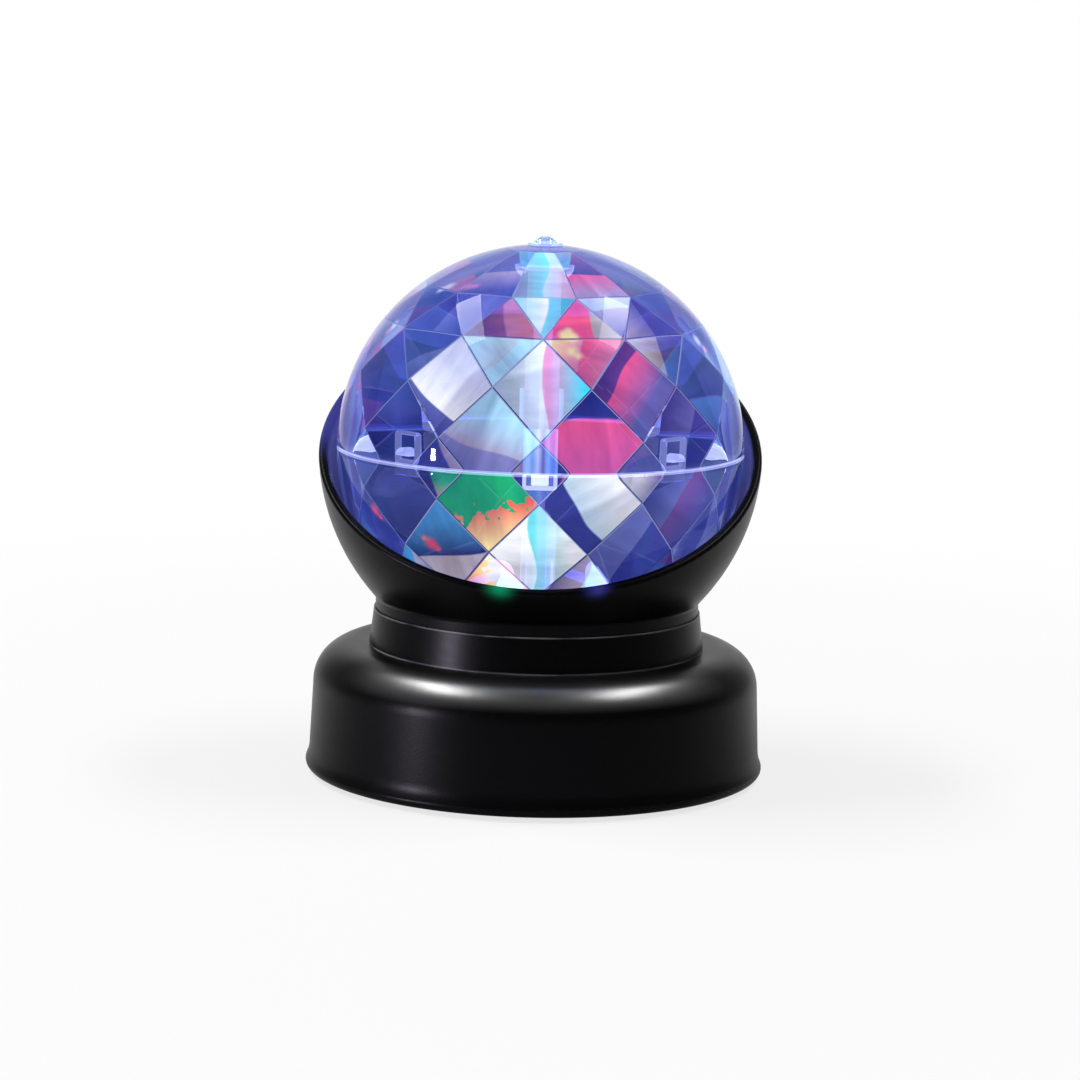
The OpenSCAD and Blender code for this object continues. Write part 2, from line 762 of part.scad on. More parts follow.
// Ring that fills the corner between the round bowl and its neck, biting a little into both
module neck_fillet_ring() {
    centre_x = neck_r + neck_fillet - fillet_bite;
    reach = bowl_out + neck_fillet - fillet_bite;
    centre_z = ball_z - sqrt(reach^2 - centre_x^2);
    touch = [bowl_out / reach * centre_x, ball_z + bowl_out / reach * (centre_z - ball_z)];
    inside = neck_r - bowl_wall / 2;
    rotate_extrude() difference() {
        polygon([[inside, centre_z], [neck_r, centre_z], touch, [inside, touch.y]]);
        translate([centre_x, centre_z]) circle(neck_fillet);
    }
}

module bowl() {
    color("#141416") difference() {
        union() {
            intersection() {
                translate([0, 0, ball_z]) rotate([rim_tilt, 0, 0]) difference() {
                    rotate_extrude($fn = fine) bowl_profile();
                    lip_bevel();
                }
                rod(beyond, base_top + over, beyond);
            }
            neck_fillet_ring();
            // Neck, and the skirt inside the collar
            rod(neck_d, collar_top, neck_show + over);
            rod(2 * skirt_r, base_top, collar_h + over);
        }
        // Room for the ball above the floor
        translate([0, 0, ball_z]) intersection() {
            sphere(bowl_in, $fn = fine);
            slab([beyond, beyond, beyond], floor_z - ball_z);
        }
        // Gear chamber under the floor, with posts and bosses left standing
        difference() {
            rod(2 * chamber_r, base_top - over, floor_under - base_top + over);
            around(plate_posts, plate_post_r) rod(post_d_plate, base_top - 2 * over, floor_under);
            around(bowl_bosses, bowl_boss_r) rod(bowl_boss_d, base_top - 2 * over, floor_under);
        }
        rod(bush_d, floor_under - over, floor_t + 2 * over);
        around(plate_posts, plate_post_r)
            rod(plate_screw[0], base_top - over, plate_screw[3] - plate_t + tip_room + over);
        around(bowl_bosses, bowl_boss_r)
            rod(bowl_screw[0], base_top - over, bowl_screw[3] - base_wall + tip_room + over);
        around(board_screws_at, board_screw_r) rod(board_screw[0], floor_under - over, floor_t + 2 * over);
    }
}

module neck_collar() {
    inner = skirt_r + running;
    outer = inner + collar_edge;
    color("#1b1b1e") rotate_extrude()
        polygon([[inner, base_top], [outer + collar_spread, base_top],
            [outer, collar_top], [inner, collar_top]]);
}

module bowl_screws() {
    color("gray") around(bowl_bosses, bowl_boss_r) screw(bowl_screw, base_top - base_wall);
}

module led_board() {
    color("white") difference() {
        rod(board_d, floor_z, board_t);
        rod(board_hole_d, floor_z - over, board_t + 2 * over);
        around(board_screws_at, board_screw_r)
            rod(board_screw[0] + 2 * fit, floor_z - over, board_t + 2 * over);
    }
}

module board_screws() {
    color("gray") around(board_screws_at, board_screw_r) translate([0, 0, board_top]) rotate([180, 0, 0])
        screw(board_screw, 0);
}

module board_resistors() {
    color("#26262a") around(resistors_at, led_ring_r) slab(resistor, board_top);
}

// Round light with a flange at its foot and a domed tip
module led(azimuth) {
    tip_z = led_h - led_d / 2;
    rotate(azimuth) translate([led_ring_r, 0, board_top]) {
        rod(led_d + 2 * led_flange, 0, led_flange_h);
        rod(led_d, 0, tip_z);
        translate([0, 0, tip_z]) sphere(d = led_d);
    }
}

module led_red() {
    color("red") led(led_red_at);
}

module led_green() {
    color("lime") led(led_green_at);
}

module led_blue() {
    color("blue") led(led_blue_at);
}

// Outline of the base: bead at the foot, hollow curve, drafted drum and round shoulder
module base_profile() {
    translate([0, rim_z]) square([bead_x, hollow_z - rim_z]);
    translate([bead_x, bead_z]) circle(foot_round);
    difference() {
        polygon([[bead_x, bead_z], bead_end, [drum_low, hollow_z], [bead_x, hollow_z]]);
        translate([hollow_x, hollow_z]) circle(foot_hollow);
    }
    polygon([[0, hollow_z], [drum_low, hollow_z], [drum_high, shoulder_z], [0, shoulder_z]]);
    translate([0, shoulder_z]) square([shoulder_x, shoulder_r]);
    translate([shoulder_x, shoulder_z]) circle(shoulder_r);
}

module base_cavity_profile() {
    translate([0, rim_z - over]) square([cavity_r, shoulder_z - rim_z + over]);
    translate([0, shoulder_z]) square([shoulder_x, shoulder_r - base_wall]);
    translate([shoulder_x, shoulder_z]) circle(shoulder_r - base_wall);
}

module base_housing() {
    ceiling = base_top - base_wall;
    seat = [2 * (switch_ear_x + seat_border), drum_high - switch_seat, switch_body.z + 2 * seat_border];
    rib_z = cover_top + lip_h + moving_gap;
    color("#111113") difference() {
        union() {
            difference() {
                rotate_extrude() base_profile();
                rotate_extrude() base_cavity_profile();
            }
            // Posts for the cover's screws, each with a rib to the wall
            around(cover_posts, cover_post_r) {
                rod(post_d, cover_top, ceiling - cover_top + over / 2);
                translate([0, -rib_t / 2, rib_z])
                    cube([post_d / 2 + post_inset + over / 2, rib_t, shoulder_z - rib_z]);
            }
            // Flat seat for the switch on the inside of the back wall
            intersection() {
                translate([-seat.x / 2, switch_seat, switch_z - seat.z / 2]) cube(seat);
                rod(2 * cavity_r + over, rib_z, shoulder_z - rib_z);
            }
        }
        rod(2 * top_hole_r, ceiling - over, base_wall + 2 * over);
        around(bowl_bosses, bowl_boss_r) rod(bowl_screw[0] + 2 * fit, ceiling - over, base_wall + 2 * over);
        around(cover_posts, cover_post_r) rod(cover_screw[0], cover_top - over, cover_screw[3] + over);
        // Pocket and slot for the switch knob
        translate([-pocket.x / 2, switch_face, switch_z - pocket.y / 2]) cube([pocket.x, foot_r, pocket.y]);
        translate([-knob_slot.x / 2, switch_seat - over, switch_z - knob_slot.y / 2])
            cube([knob_slot.x, foot_r, knob_slot.y]);
        both_sides(switch_screw_x) translate([0, switch_seat, switch_z]) rotate([-90, 0, 0])
            rod(switch_screw[0], -over, switch_screw[3] - switch_ear_t + tip_room / 2 + over);
    }
}

module bottom_cover() {
    color("#18181a") difference() {
        union() {
            rod(2 * cover_r, cover_z, cover_t);
            // Lip that centres the cover in the base
            difference() {
                rod(2 * cover_r, cover_z, cover_t + lip_h);
                rod(2 * (cover_r - lip_t), cover_top, lip_h + over);
            }
            translate([0, box_y, 0]) {
                slab([box_out.x, box_out.y, box_top - cover_z], cover_z);
                both_sides(ear_x) rod(door_boss_d, cover_z, cover_t + door_boss_h);
            }
        }
        translate([0, box_y, 0]) {
            // Room for the cells, with ridges between them left on its roof
            difference() {
                slab([box_in.x, box_in.y, box_roof - cover_top], cover_top);
                for (i = [1 : cells - 1])
                    translate([0, (i - cells / 2) * cell_pitch, 0]) slab(ridge, box_roof - ridge.z);
            }
            round_plate([door.x + 2 * fit, door.y + 2 * fit], door_corner + fit,
                cover_z - over, cover_t + 2 * over);
            slab([2 * ear_x, 2 * (ear_r + fit), ear_t + over], cover_z - over);
            both_sides(ear_x) {
                rod(2 * (ear_r + fit), cover_z - over, ear_t + over);
                rod(door_screw[0], cover_z, door_screw[3] + tip_room);
            }
        }
        around(cover_posts, cover_post_r) {
            rod(cover_screw[0] + 2 * fit, cover_z - over, cover_t + 2 * over);
            rod(cover_screw[1] + 2 * fit, cover_z - over, cover_t / 2 + over);
        }
    }
}

module cover_screws() {
    color("gray") around(cover_posts, cover_post_r) screw(cover_screw, cover_z + cover_t / 2);
}

module rubber_feet() {
    color("#3a3a3c") around(pads, pad_r) rod(pad_d, 0, pad_h);
}

module battery_door() {
    color("#1a1a1c") translate([0, box_y, 0]) difference() {
        union() {
            round_plate(door, door_corner, cover_z, door_t);
            slab([2 * ear_x, 2 * ear_r, ear_t], cover_z);
            both_sides(ear_x) rod(2 * ear_r, cover_z, ear_t);
            // Ribs inside, under the lines where the cells meet
            for (i = [1 : cells - 1])
                translate([0, (i - cells / 2) * cell_pitch, 0])
                    slab([door_rib.x, door_rib.y, door_t + door_rib_h], cover_z);
        }
        both_sides(ear_x) rod(door_screw[0] + 2 * fit, cover_z - over, ear_t + 2 * over);
    }
}

module door_screws() {
    color("gray") translate([0, box_y, 0]) both_sides(ear_x) screw(door_screw, cover_z);
}

// Copies its children to each cell, turned so that +X is the way its nub points
module at_cells() {
    for (i = [0 : cells - 1])
        translate([0, cell_y(i), cell_z]) rotate(i % 2 == 0 ? 0 : 180) children();
}

module batteries() {
    color("#c8742c") at_cells() translate([box_in.x / 2 - contact_t, 0, 0]) rotate([0, -90, 0]) {
        rod(nub_d, 0, nub_l + over);
        rod(cell_d, nub_l, cell_l - nub_l);
    }
}

// Contact plate at one end of the box that spans the cells from first to last
module contact_plate(first, last, side) {
    span = cell_y(last) - cell_y(first);
    translate([side * (box_in.x - contact_t) / 2, (cell_y(first) + cell_y(last)) / 2, cell_z])
        slab([contact.x, contact.y + span, contact.z], -contact.z / 2);
}

// The plates join the cells in series: pairs at either end, with single plates at both ends of the row
module contact_plates() {
    color("#d0d2d6") {
        contact_plate(0, 0, -1);
        for (i = [0 : cells - 1])
            if (i % 2 == 0) contact_plate(i, min(i + 1, cells - 1), 1);
            else contact_plate(i, min(i + 1, cells - 1), -1);
    }
}

// Conical contact spring along +X from its wide end: a wire swept round a helix
function spring_out(t) = [0, cos(t * spring_turns * 360), sin(t * spring_turns * 360)];
function spring_d(t) = spring_wide_d + (spring_narrow_d - spring_wide_d) * t;
function spring_point(t) = [t * spring_rise, 0, 0] + (spring_d(t) - spring_wire) / 2 * spring_out(t);
function spring_ring(t) =
    [for (k = [0 : spring_sides - 1])
        let (turn = k * 360 / spring_sides)
        spring_point(t) + spring_wire / 2 * (cos(turn) * spring_out(t) + sin(turn) * [1, 0, 0])];
module contact_spring() {
    n = spring_turns * spring_steps;
    s = spring_sides;
    polyhedron(
        points = [for (i = [0 : n]) each spring_ring(i / n)],
        faces = concat(
            [[for (k = [0 : s - 1]) k]],
            [for (i = [0 : n - 1], k = [0 : s - 1])
                let (a = i * s + k, b = i * s + (k + 1) % s)
                each [[a, a + s, b + s], [a, b + s, b]]],
            [[for (k = [s - 1 : -1 : 0]) n * s + k]]));
}
// Least gap between points of the wire's line a turn or so apart, less the wire
spring_gaps = [for (i = [0 : (spring_turns - 1) * spring_steps - 1], j = [-1 : 1])
    norm(spring_point((i + spring_steps + j) / (spring_turns * spring_steps))
        - spring_point(i / (spring_turns * spring_steps))) - spring_wire];
echo(least_spring_gap = min(spring_gaps));

module contact_springs() {
    color("silver") at_cells() translate([-box_in.x / 2 + contact_t + spring_wire / 2 + end_play, 0, 0])
        contact_spring();
}

module switch_body() {
    color("#2f3033") translate([0, switch_seat, switch_z]) difference() {
        union() {
            translate([-switch_body.x / 2, -switch_body.y, -switch_body.z / 2]) cube(switch_body);
            translate([-switch_ear_x, -switch_ear_t, -switch_body.z / 2])
                cube([2 * switch_ear_x, switch_ear_t, switch_body.z]);
            // Three solder tags at the back
            for (i = [-1 : 1])
                translate([i * switch_tag_pitch, (over - switch_tag.y) / 2 - switch_body.y, 0])
                    slab([switch_tag.x, switch_tag.y + over, switch_tag.z], -switch_tag.z / 2);
        }
        translate([-slider_room.x / 2, -switch_lid_t - slider_room.y, -slider_room.z / 2]) cube(slider_room);
        translate([-knob_slot.x / 2, -switch_lid_t - over, -knob_slot.y / 2])
            cube([knob_slot.x, switch_lid_t + 2 * over, knob_slot.y]);
        both_sides(switch_screw_x) rotate([-90, 0, 0])
            rod(switch_screw[0] + 2 * fit, -switch_ear_t - over, switch_ear_t + 2 * over);
    }
}

module switch_screws() {
    color("gray") both_sides(switch_screw_x) translate([0, switch_seat - switch_ear_t, switch_z])
        rotate([-90, 0, 0]) screw(switch_screw, 0);
}

// Stands at the on end of its travel, towards +X
module switch_slider() {
    knob_end = switch_face + knob_out;
    color("#232326") translate([switch_travel / 2, 0, switch_z]) difference() {
        union() {
            translate([-slider.x / 2, slider_y, -slider.z / 2]) cube(slider);
            translate([-knob_w / 2, slider_y, -knob_h / 2]) cube([knob_w, knob_end - slider_y, knob_h]);
        }
        // Finger grooves across the knob
        for (i = [1 : knob_grooves])
            translate([(i / (knob_grooves + 1) - 0.5) * knob_w - groove.x / 2, knob_end - groove.y, -knob_h])
                cube([groove.x, over, 2 * knob_h]);
    }
}

base_housing();
bottom_cover();
rubber_feet();
cover_screws();
neck_collar();
bowl();
bowl_screws();
motor_plate();
plate_screws();
motor_gearbox();
motor_can();
motor_screws();
motor_shaft();
motor_pinion();
thrust_washer();
floor_bush();
led_board();
led_red();
led_green();
led_blue();
board_resistors();
board_screws();
batteries();
contact_plates();
contact_springs();
switch_body();
switch_screws();
switch_slider();
battery_door();
door_screws();
upper_dome();
lower_dome();
centre_column();
top_stud();
drive_shaft();
ball_gear();
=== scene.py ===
"""Looks of a table lamp with a turning faceted ball. Metres, +Z up, front towards -Y."""
import math

import bpy
import numpy as np
from mathutils import Matrix, Vector


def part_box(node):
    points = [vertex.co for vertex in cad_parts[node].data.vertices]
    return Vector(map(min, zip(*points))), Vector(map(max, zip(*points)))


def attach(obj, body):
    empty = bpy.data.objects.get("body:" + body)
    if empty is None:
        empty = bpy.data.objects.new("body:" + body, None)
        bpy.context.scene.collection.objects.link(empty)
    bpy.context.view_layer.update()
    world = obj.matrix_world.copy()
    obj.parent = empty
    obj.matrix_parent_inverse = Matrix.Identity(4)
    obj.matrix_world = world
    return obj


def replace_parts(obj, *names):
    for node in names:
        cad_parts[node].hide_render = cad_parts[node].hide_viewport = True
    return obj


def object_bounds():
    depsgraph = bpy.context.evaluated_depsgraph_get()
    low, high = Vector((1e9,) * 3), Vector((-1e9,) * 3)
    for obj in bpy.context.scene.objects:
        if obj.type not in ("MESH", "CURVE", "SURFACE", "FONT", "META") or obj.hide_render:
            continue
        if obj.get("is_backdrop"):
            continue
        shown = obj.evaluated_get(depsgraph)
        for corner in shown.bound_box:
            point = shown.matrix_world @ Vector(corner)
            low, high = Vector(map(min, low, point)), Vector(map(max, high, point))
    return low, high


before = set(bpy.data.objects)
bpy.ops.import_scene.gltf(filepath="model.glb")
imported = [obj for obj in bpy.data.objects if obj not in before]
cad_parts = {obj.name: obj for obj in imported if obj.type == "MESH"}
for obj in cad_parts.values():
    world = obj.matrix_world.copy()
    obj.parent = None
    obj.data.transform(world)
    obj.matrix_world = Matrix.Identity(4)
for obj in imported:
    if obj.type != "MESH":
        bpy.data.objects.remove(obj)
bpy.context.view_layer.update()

MM = 0.001

# Size and place of the ball, read from its solids without the pad on its pole
PAD_H = 0.4 * MM
dome_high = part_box("upper_dome")[1]
BALL_R = dome_high.x
BALL_Z = dome_high.z - PAD_H - BALL_R
MOUTH_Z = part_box("lower_dome")[0].z - BALL_Z
BALL_CENTRE = np.array([0.0, 0.0, BALL_Z])

# The ball's facets: corners on a sphere, in rows by latitude, with odd rows on the front
WALL = 1.6 * MM
FACET_R = BALL_R - WALL
ROUND = 12
TURN = 360 / ROUND
ROWS = [-6.5, 8.5, 23.5, 38.5, 53.5]
LAST_ROW = len(ROWS) - 1
POLE_RING_R = 7.6 * MM
POLE_LAT = math.degrees(math.acos(POLE_RING_R / FACET_R))
FACET_STEPS = 20
SPHERE_ROWS = 56
EDGE_W = 0.22 * MM
EDGE_LIFT = 0.04 * MM
SEAM_BEVEL = 0.4 * MM
SEAM_GAP = 0.06 * MM
SEED = 11


class Wire:
    """An output socket. Arithmetic on it adds Math nodes to its finish."""

    def __init__(self, finish, socket):
        self.finish = finish
        self.socket = socket

    def other(self, name):
        """Another output of the same node."""
        return Wire(self.finish, self.socket.node.outputs[name])

    def math(self, operation, first, second):
        return self.finish.add("ShaderNodeMath", {0: first, 1: second}, operation=operation)

    def __add__(self, other):
        return self.math("ADD", self, other)

    def __sub__(self, other):
        return self.math("SUBTRACT", self, other)

    def __rsub__(self, other):
        return self.math("SUBTRACT", other, self)

    def __mul__(self, other):
        return self.math("MULTIPLY", self, other)

    def __truediv__(self, other):
        return self.math("DIVIDE", self, other)

    def __pow__(self, other):
        return self.math("POWER", self, other)

    def __abs__(self):
        return self.math("ABSOLUTE", self, 0.0)

    __radd__ = __add__
    __rmul__ = __mul__


class Finish:
    """Node tree of a material or world: a method that adds any node to it, and its surface shader."""

    def __init__(self, name, kind=bpy.data.materials):
        self.owner = kind.new(name)
        self.owner.use_nodes = True
        self.tree = self.owner.node_tree
        self.tree.nodes.clear()

    def add(self, kind, inputs=None, output=0, **settings):
        """Adds a node of this kind: its settings first, then the values or links of its sockets."""
        node = self.tree.nodes.new(kind)
        for key, value in settings.items():
            setattr(node, key, value)
        for key, value in (inputs or {}).items():
            if isinstance(value, Wire):
                self.tree.links.new(value.socket, node.inputs[key])
            else:
                node.inputs[key].default_value = value
        return Wire(self, node.outputs[output]) if node.outputs else None

    def place(self):
        """Position on the piece, in metres."""
        return self.add("ShaderNodeTexCoord", output="Object")

    def axes(self, vector=None):
        """X, Y and Z of a vector, or else of the position on the piece."""
        x = self.add("ShaderNodeSeparateXYZ", {"Vector": vector or self.place()}, "X")
        return x, x.other("Y"), x.other("Z")

    def stretched(self, scale, vector=None):
        """A vector, or else the position on the piece, scaled by axis."""
        return self.add("ShaderNodeMapping", {"Vector": vector or self.place(), "Scale": scale})

    def noise(self, size, detail, place=None):
        """Noise from 0 to 1 with lumps of about this size in metres."""
        inputs = {"Vector": place or self.place(), "Scale": 1 / size, "Detail": detail}
        return self.add("ShaderNodeTexNoise", inputs, "Fac")

    def mix(self, factor, first, second):
        """Colour between the first and the second."""
        first, second = (part if isinstance(part, Wire) else (*part, 1.0) for part in (first, second))
        return self.add("ShaderNodeMix", {0: factor, 6: first, 7: second}, 2, data_type="RGBA")

    def scaled(self, colour, amount):
        """Colour times a number."""
        return self.add("ShaderNodeVectorMath", {0: colour, "Scale": amount}, operation="SCALE")

    def step(self, value, first, last):
        """0 below the first value, 1 above the last, smooth between."""
        inputs = {"Value": value, "From Min": first, "From Max": last}
        return self.add("ShaderNodeMapRange", inputs, interpolation_type="SMOOTHSTEP")

    def near(self, point, first, last):
        """1 within the first distance of a point, 0 beyond the last, smooth between."""
        inputs = {0: self.place(), 1: point}
        away = self.add("ShaderNodeVectorMath", inputs, "Value", operation="DISTANCE")
        return 1.0 - self.step(away, first, last)

    def ramp(self, factor, stops):
        """Colour along a row of stops."""
        wire = self.add("ShaderNodeValToRGB", {"Fac": factor}, "Color")
        elements = wire.socket.node.color_ramp.elements
        while len(elements) < len(stops):
            elements.new(1.0)
        for element, (place, colour) in zip(elements, stops):
            element.position = place
            element.color = (*colour, 1.0)
        return wire

    def bump(self, height, depth):
        """Normal pushed about by a height from 0 to 1 of this depth in metres."""
        return self.add("ShaderNodeBump", {"Distance": depth, "Height": height})

    def surface(self, **values):
        """Ends the material in a surface shader whose sockets take these values or links."""
        inputs = {name.replace("_", " "): value for name, value in values.items()}
        shader = self.add("ShaderNodeBsdfPrincipled", inputs)
        self.add("ShaderNodeOutputMaterial", {"Surface": shader})
        return self.owner

    def seen(self, mirrored):
        """1 for rays from the camera, a share for those off gloss or through clear plastic, 0 for others."""
        rays = self.add("ShaderNodeLightPath", output="Is Camera Ray")
        others = rays.math("MINIMUM", rays.other("Is Glossy Ray") + rays.other("Is Transmission Ray"), 1.0)
        return rays + (1.0 - rays) * others * mirrored


def linked(name, data):
    """New object in the scene with these data."""
    thing = bpy.data.objects.new(name, data)
    bpy.context.scene.collection.objects.link(thing)
    return thing


class Skin:
    """Gathers grids of points, welds them where they meet and makes one mesh of them."""

    WELD = 1e-7
    LAYERS = ("glow", "second", "streak")

    def __init__(self):
        self.corners = []
        self.smooth = []

    def add(self, grid, towards, glow=(0, 0, 0), second=None, streak=(0, 0, 0), smooth=False):
        """Adds grids of shape (..., rows, columns, 3) as triangles that face the way of towards. Glow and
        second are the two colours of light on them, and streak is a place in the pattern that mixes them."""
        second = glow if second is None else second
        layers = [np.broadcast_to(layer, np.shape(grid)) for layer in (towards, grid, glow, second, streak)]
        towards, *layers = (self.triangles(layer) for layer in layers)
        points = layers[0]
        normals = np.cross(points[:, 1] - points[:, 0], points[:, 2] - points[:, 0])
        wrong = (normals * towards.mean(1)).sum(1) < 0
        corners = np.stack(layers, 2)
        corners[wrong] = corners[wrong][:, ::-1]
        self.corners.append(corners)
        self.smooth.append(np.full(len(corners), smooth))

    @staticmethod
    def triangles(grid):
        """Two triangles for each cell of the grids, as an array of three corners each."""
        a, b = grid[..., :-1, :-1, :], grid[..., 1:, :-1, :]
        c, d = grid[..., 1:, 1:, :], grid[..., :-1, 1:, :]
        cells = np.stack([np.stack([a, b, c], -2), np.stack([a, c, d], -2)], -3)
        return cells.reshape(-1, 3, 3)

    def build(self, name, material):
        """Welds the corners, drops flat triangles and makes the object, which rides on the ball."""
        corners = np.concatenate(self.corners)
        smooth = np.concatenate(self.smooth)
        places = corners[:, :, 0].reshape(-1, 3)
        keys = np.round(places / self.WELD).astype(np.int64)
        _, first, ids = np.unique(keys, axis=0, return_index=True, return_inverse=True)
        ids = ids.reshape(-1, 3)
        kept = (ids != np.roll(ids, 1, 1)).all(1)
        points, ids, corners, smooth = places[first], ids[kept], corners[kept], smooth[kept]
        mesh = bpy.data.meshes.new(name)
        mesh.from_pydata(points.tolist(), [], ids.tolist())
        mesh.polygons.foreach_set("use_smooth", smooth)
        for layer, label in enumerate(self.LAYERS, 1):
            attribute = mesh.attributes.new(label, "FLOAT_VECTOR", "CORNER")
            attribute.data.foreach_set("vector", corners[:, :, layer].ravel())
        mesh.update()
        mesh.validate()
        mesh.materials.append(material)
        piece = linked(name, mesh)
        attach(piece, "ball")
        return piece


def unit(vectors):
    """Vectors of length 1."""
    return vectors / np.linalg.norm(vectors, axis=-1, keepdims=True)


def direction(azimuth, latitude):
    """Unit vectors by azimuth from the front, positive to the right, and latitude, in degrees."""
    azimuth, latitude = np.broadcast_arrays(np.radians(azimuth), np.radians(latitude))
    flat = np.cos(latitude)
    return np.stack([flat * np.sin(azimuth), -flat * np.cos(azimuth), np.sin(latitude)], -1)


def between(first, second, share):
    """Points along the lines from the first to the second, one row for each share."""
    share = share[:, None, None]
    return first * (1 - share) + second * share


def eased(share):
    """Shares cut to 0 and 1, with a smooth start and end."""
    share = np.clip(share, 0, 1)
    return share * share * (3 - 2 * share)


# Colours of the light inside the ball
WHITE = (0.72, 0.73, 0.74)
PALE = (0.42, 0.54, 0.62)
CYAN = (0.37, 0.65, 0.80)
ICE = (0.02, 0.80, 1.00)
AQUA = (0.10, 0.50, 0.46)
TEAL = (0.02, 0.34, 0.36)
SKY = (0.03, 0.22, 0.46)
MAUVE = (0.32, 0.26, 0.36)
PINK = (0.70, 0.22, 0.32)
ROSE = (0.74, 0.08, 0.17)
RED = (0.66, 0.04, 0.05)
ORANGE = (0.66, 0.18, 0.05)
YELLOW = (0.88, 0.74, 0.32)
GREEN = (0.005, 0.36, 0.08)
GREY = (0.36, 0.31, 0.34)
PURPLE = (0.11, 0.03, 0.14)
LILAC = (0.082, 0.094, 0.260)
VIOLET = (0.020, 0.026, 0.148)
NAVY = (0.004, 0.006, 0.060)
PLUM = (0.26, 0.09, 0.22)
DUSK = (0.17, 0.17, 0.36)
MIST = (0.46, 0.48, 0.60)
MAGENTA = (0.60, 0.09, 0.27)
EMBER = (0.75, 0.12, 0.02)
AMBER = (0.94, 0.72, 0.28)
BLUSH = (0.50, 0.20, 0.34)
# Violet tint of the ball, which is painted light: the plastic itself is clear
BALL_LIGHT_TINT = np.array([0.13, 0.165, 0.45])
GLOW_LOW = np.array([0.010, 0.013, 0.110])
GLOW_HIGH = np.array([0.023, 0.026, 0.142])
# Painted light on the seam's flat face, its bevel and the lower half's lip, standing for their reflection, so
# the seam shows as a pale line
GLOW_SEAM = np.array([0.42, 0.46, 0.80])
GLOW_BEVEL = 0.6 * GLOW_SEAM

# Splashes of light on unlisted facets: azimuth, latitude, reach and softness in degrees, and colour
SPLASHES = [
    (45, -16, 24, 22, LILAC),
    (-44, -10, 15, 9, NAVY),
    (-15, 10, 9, 7, MAUVE),
    (-9, 16, 5, 5, CYAN),
    (15, 10, 10, 5, ROSE),
    (28, 62, 12, 9, PURPLE),
    (-15, -4, 8, 4, GREEN),
    (-22, -12, 5, 4, ORANGE),
    (21, -6, 9, 4, WHITE),
    (36, -9, 7, 7, PURPLE),
]

# Small spots of painted light on any facet, in the same way: patches of the light inside, then painted glints
# that stand for reflections on the outside
SPOTS = [
    (8, 40.5, 1.6, 2, YELLOW),
    (11, 40, 1.4, 2, YELLOW),
    (9.5, 42, 1.0, 2, YELLOW),
    (10, 35.5, 1.2, 2, YELLOW),
    (12, 34, 0.8, 2, YELLOW),
    (-35, -23, 1.6, 2, RED),
    (-37, -21.5, 0.9, 1, ORANGE),
    (-33, -24.5, 0.9, 1, RED),
    (-57, -15, 1.4, 2, RED),
    (-55, -17, 0.8, 1, RED),
    # Painted glints, standing for reflections on the ball's outer surface
    (-57, 56, 1.6, 2, MIST),
    (-60, 54, 1.0, 2, MIST),
    (-71, 39, 1.4, 2, MIST),
    (-73, 36.5, 0.9, 2, PINK),
    (-44, 57, 1.2, 3, PINK),
    (-40, 58, 0.8, 2, PINK),
    (70, 36, 1.6, 2, MIST),
    (72, 33, 1.0, 2, PINK),
]

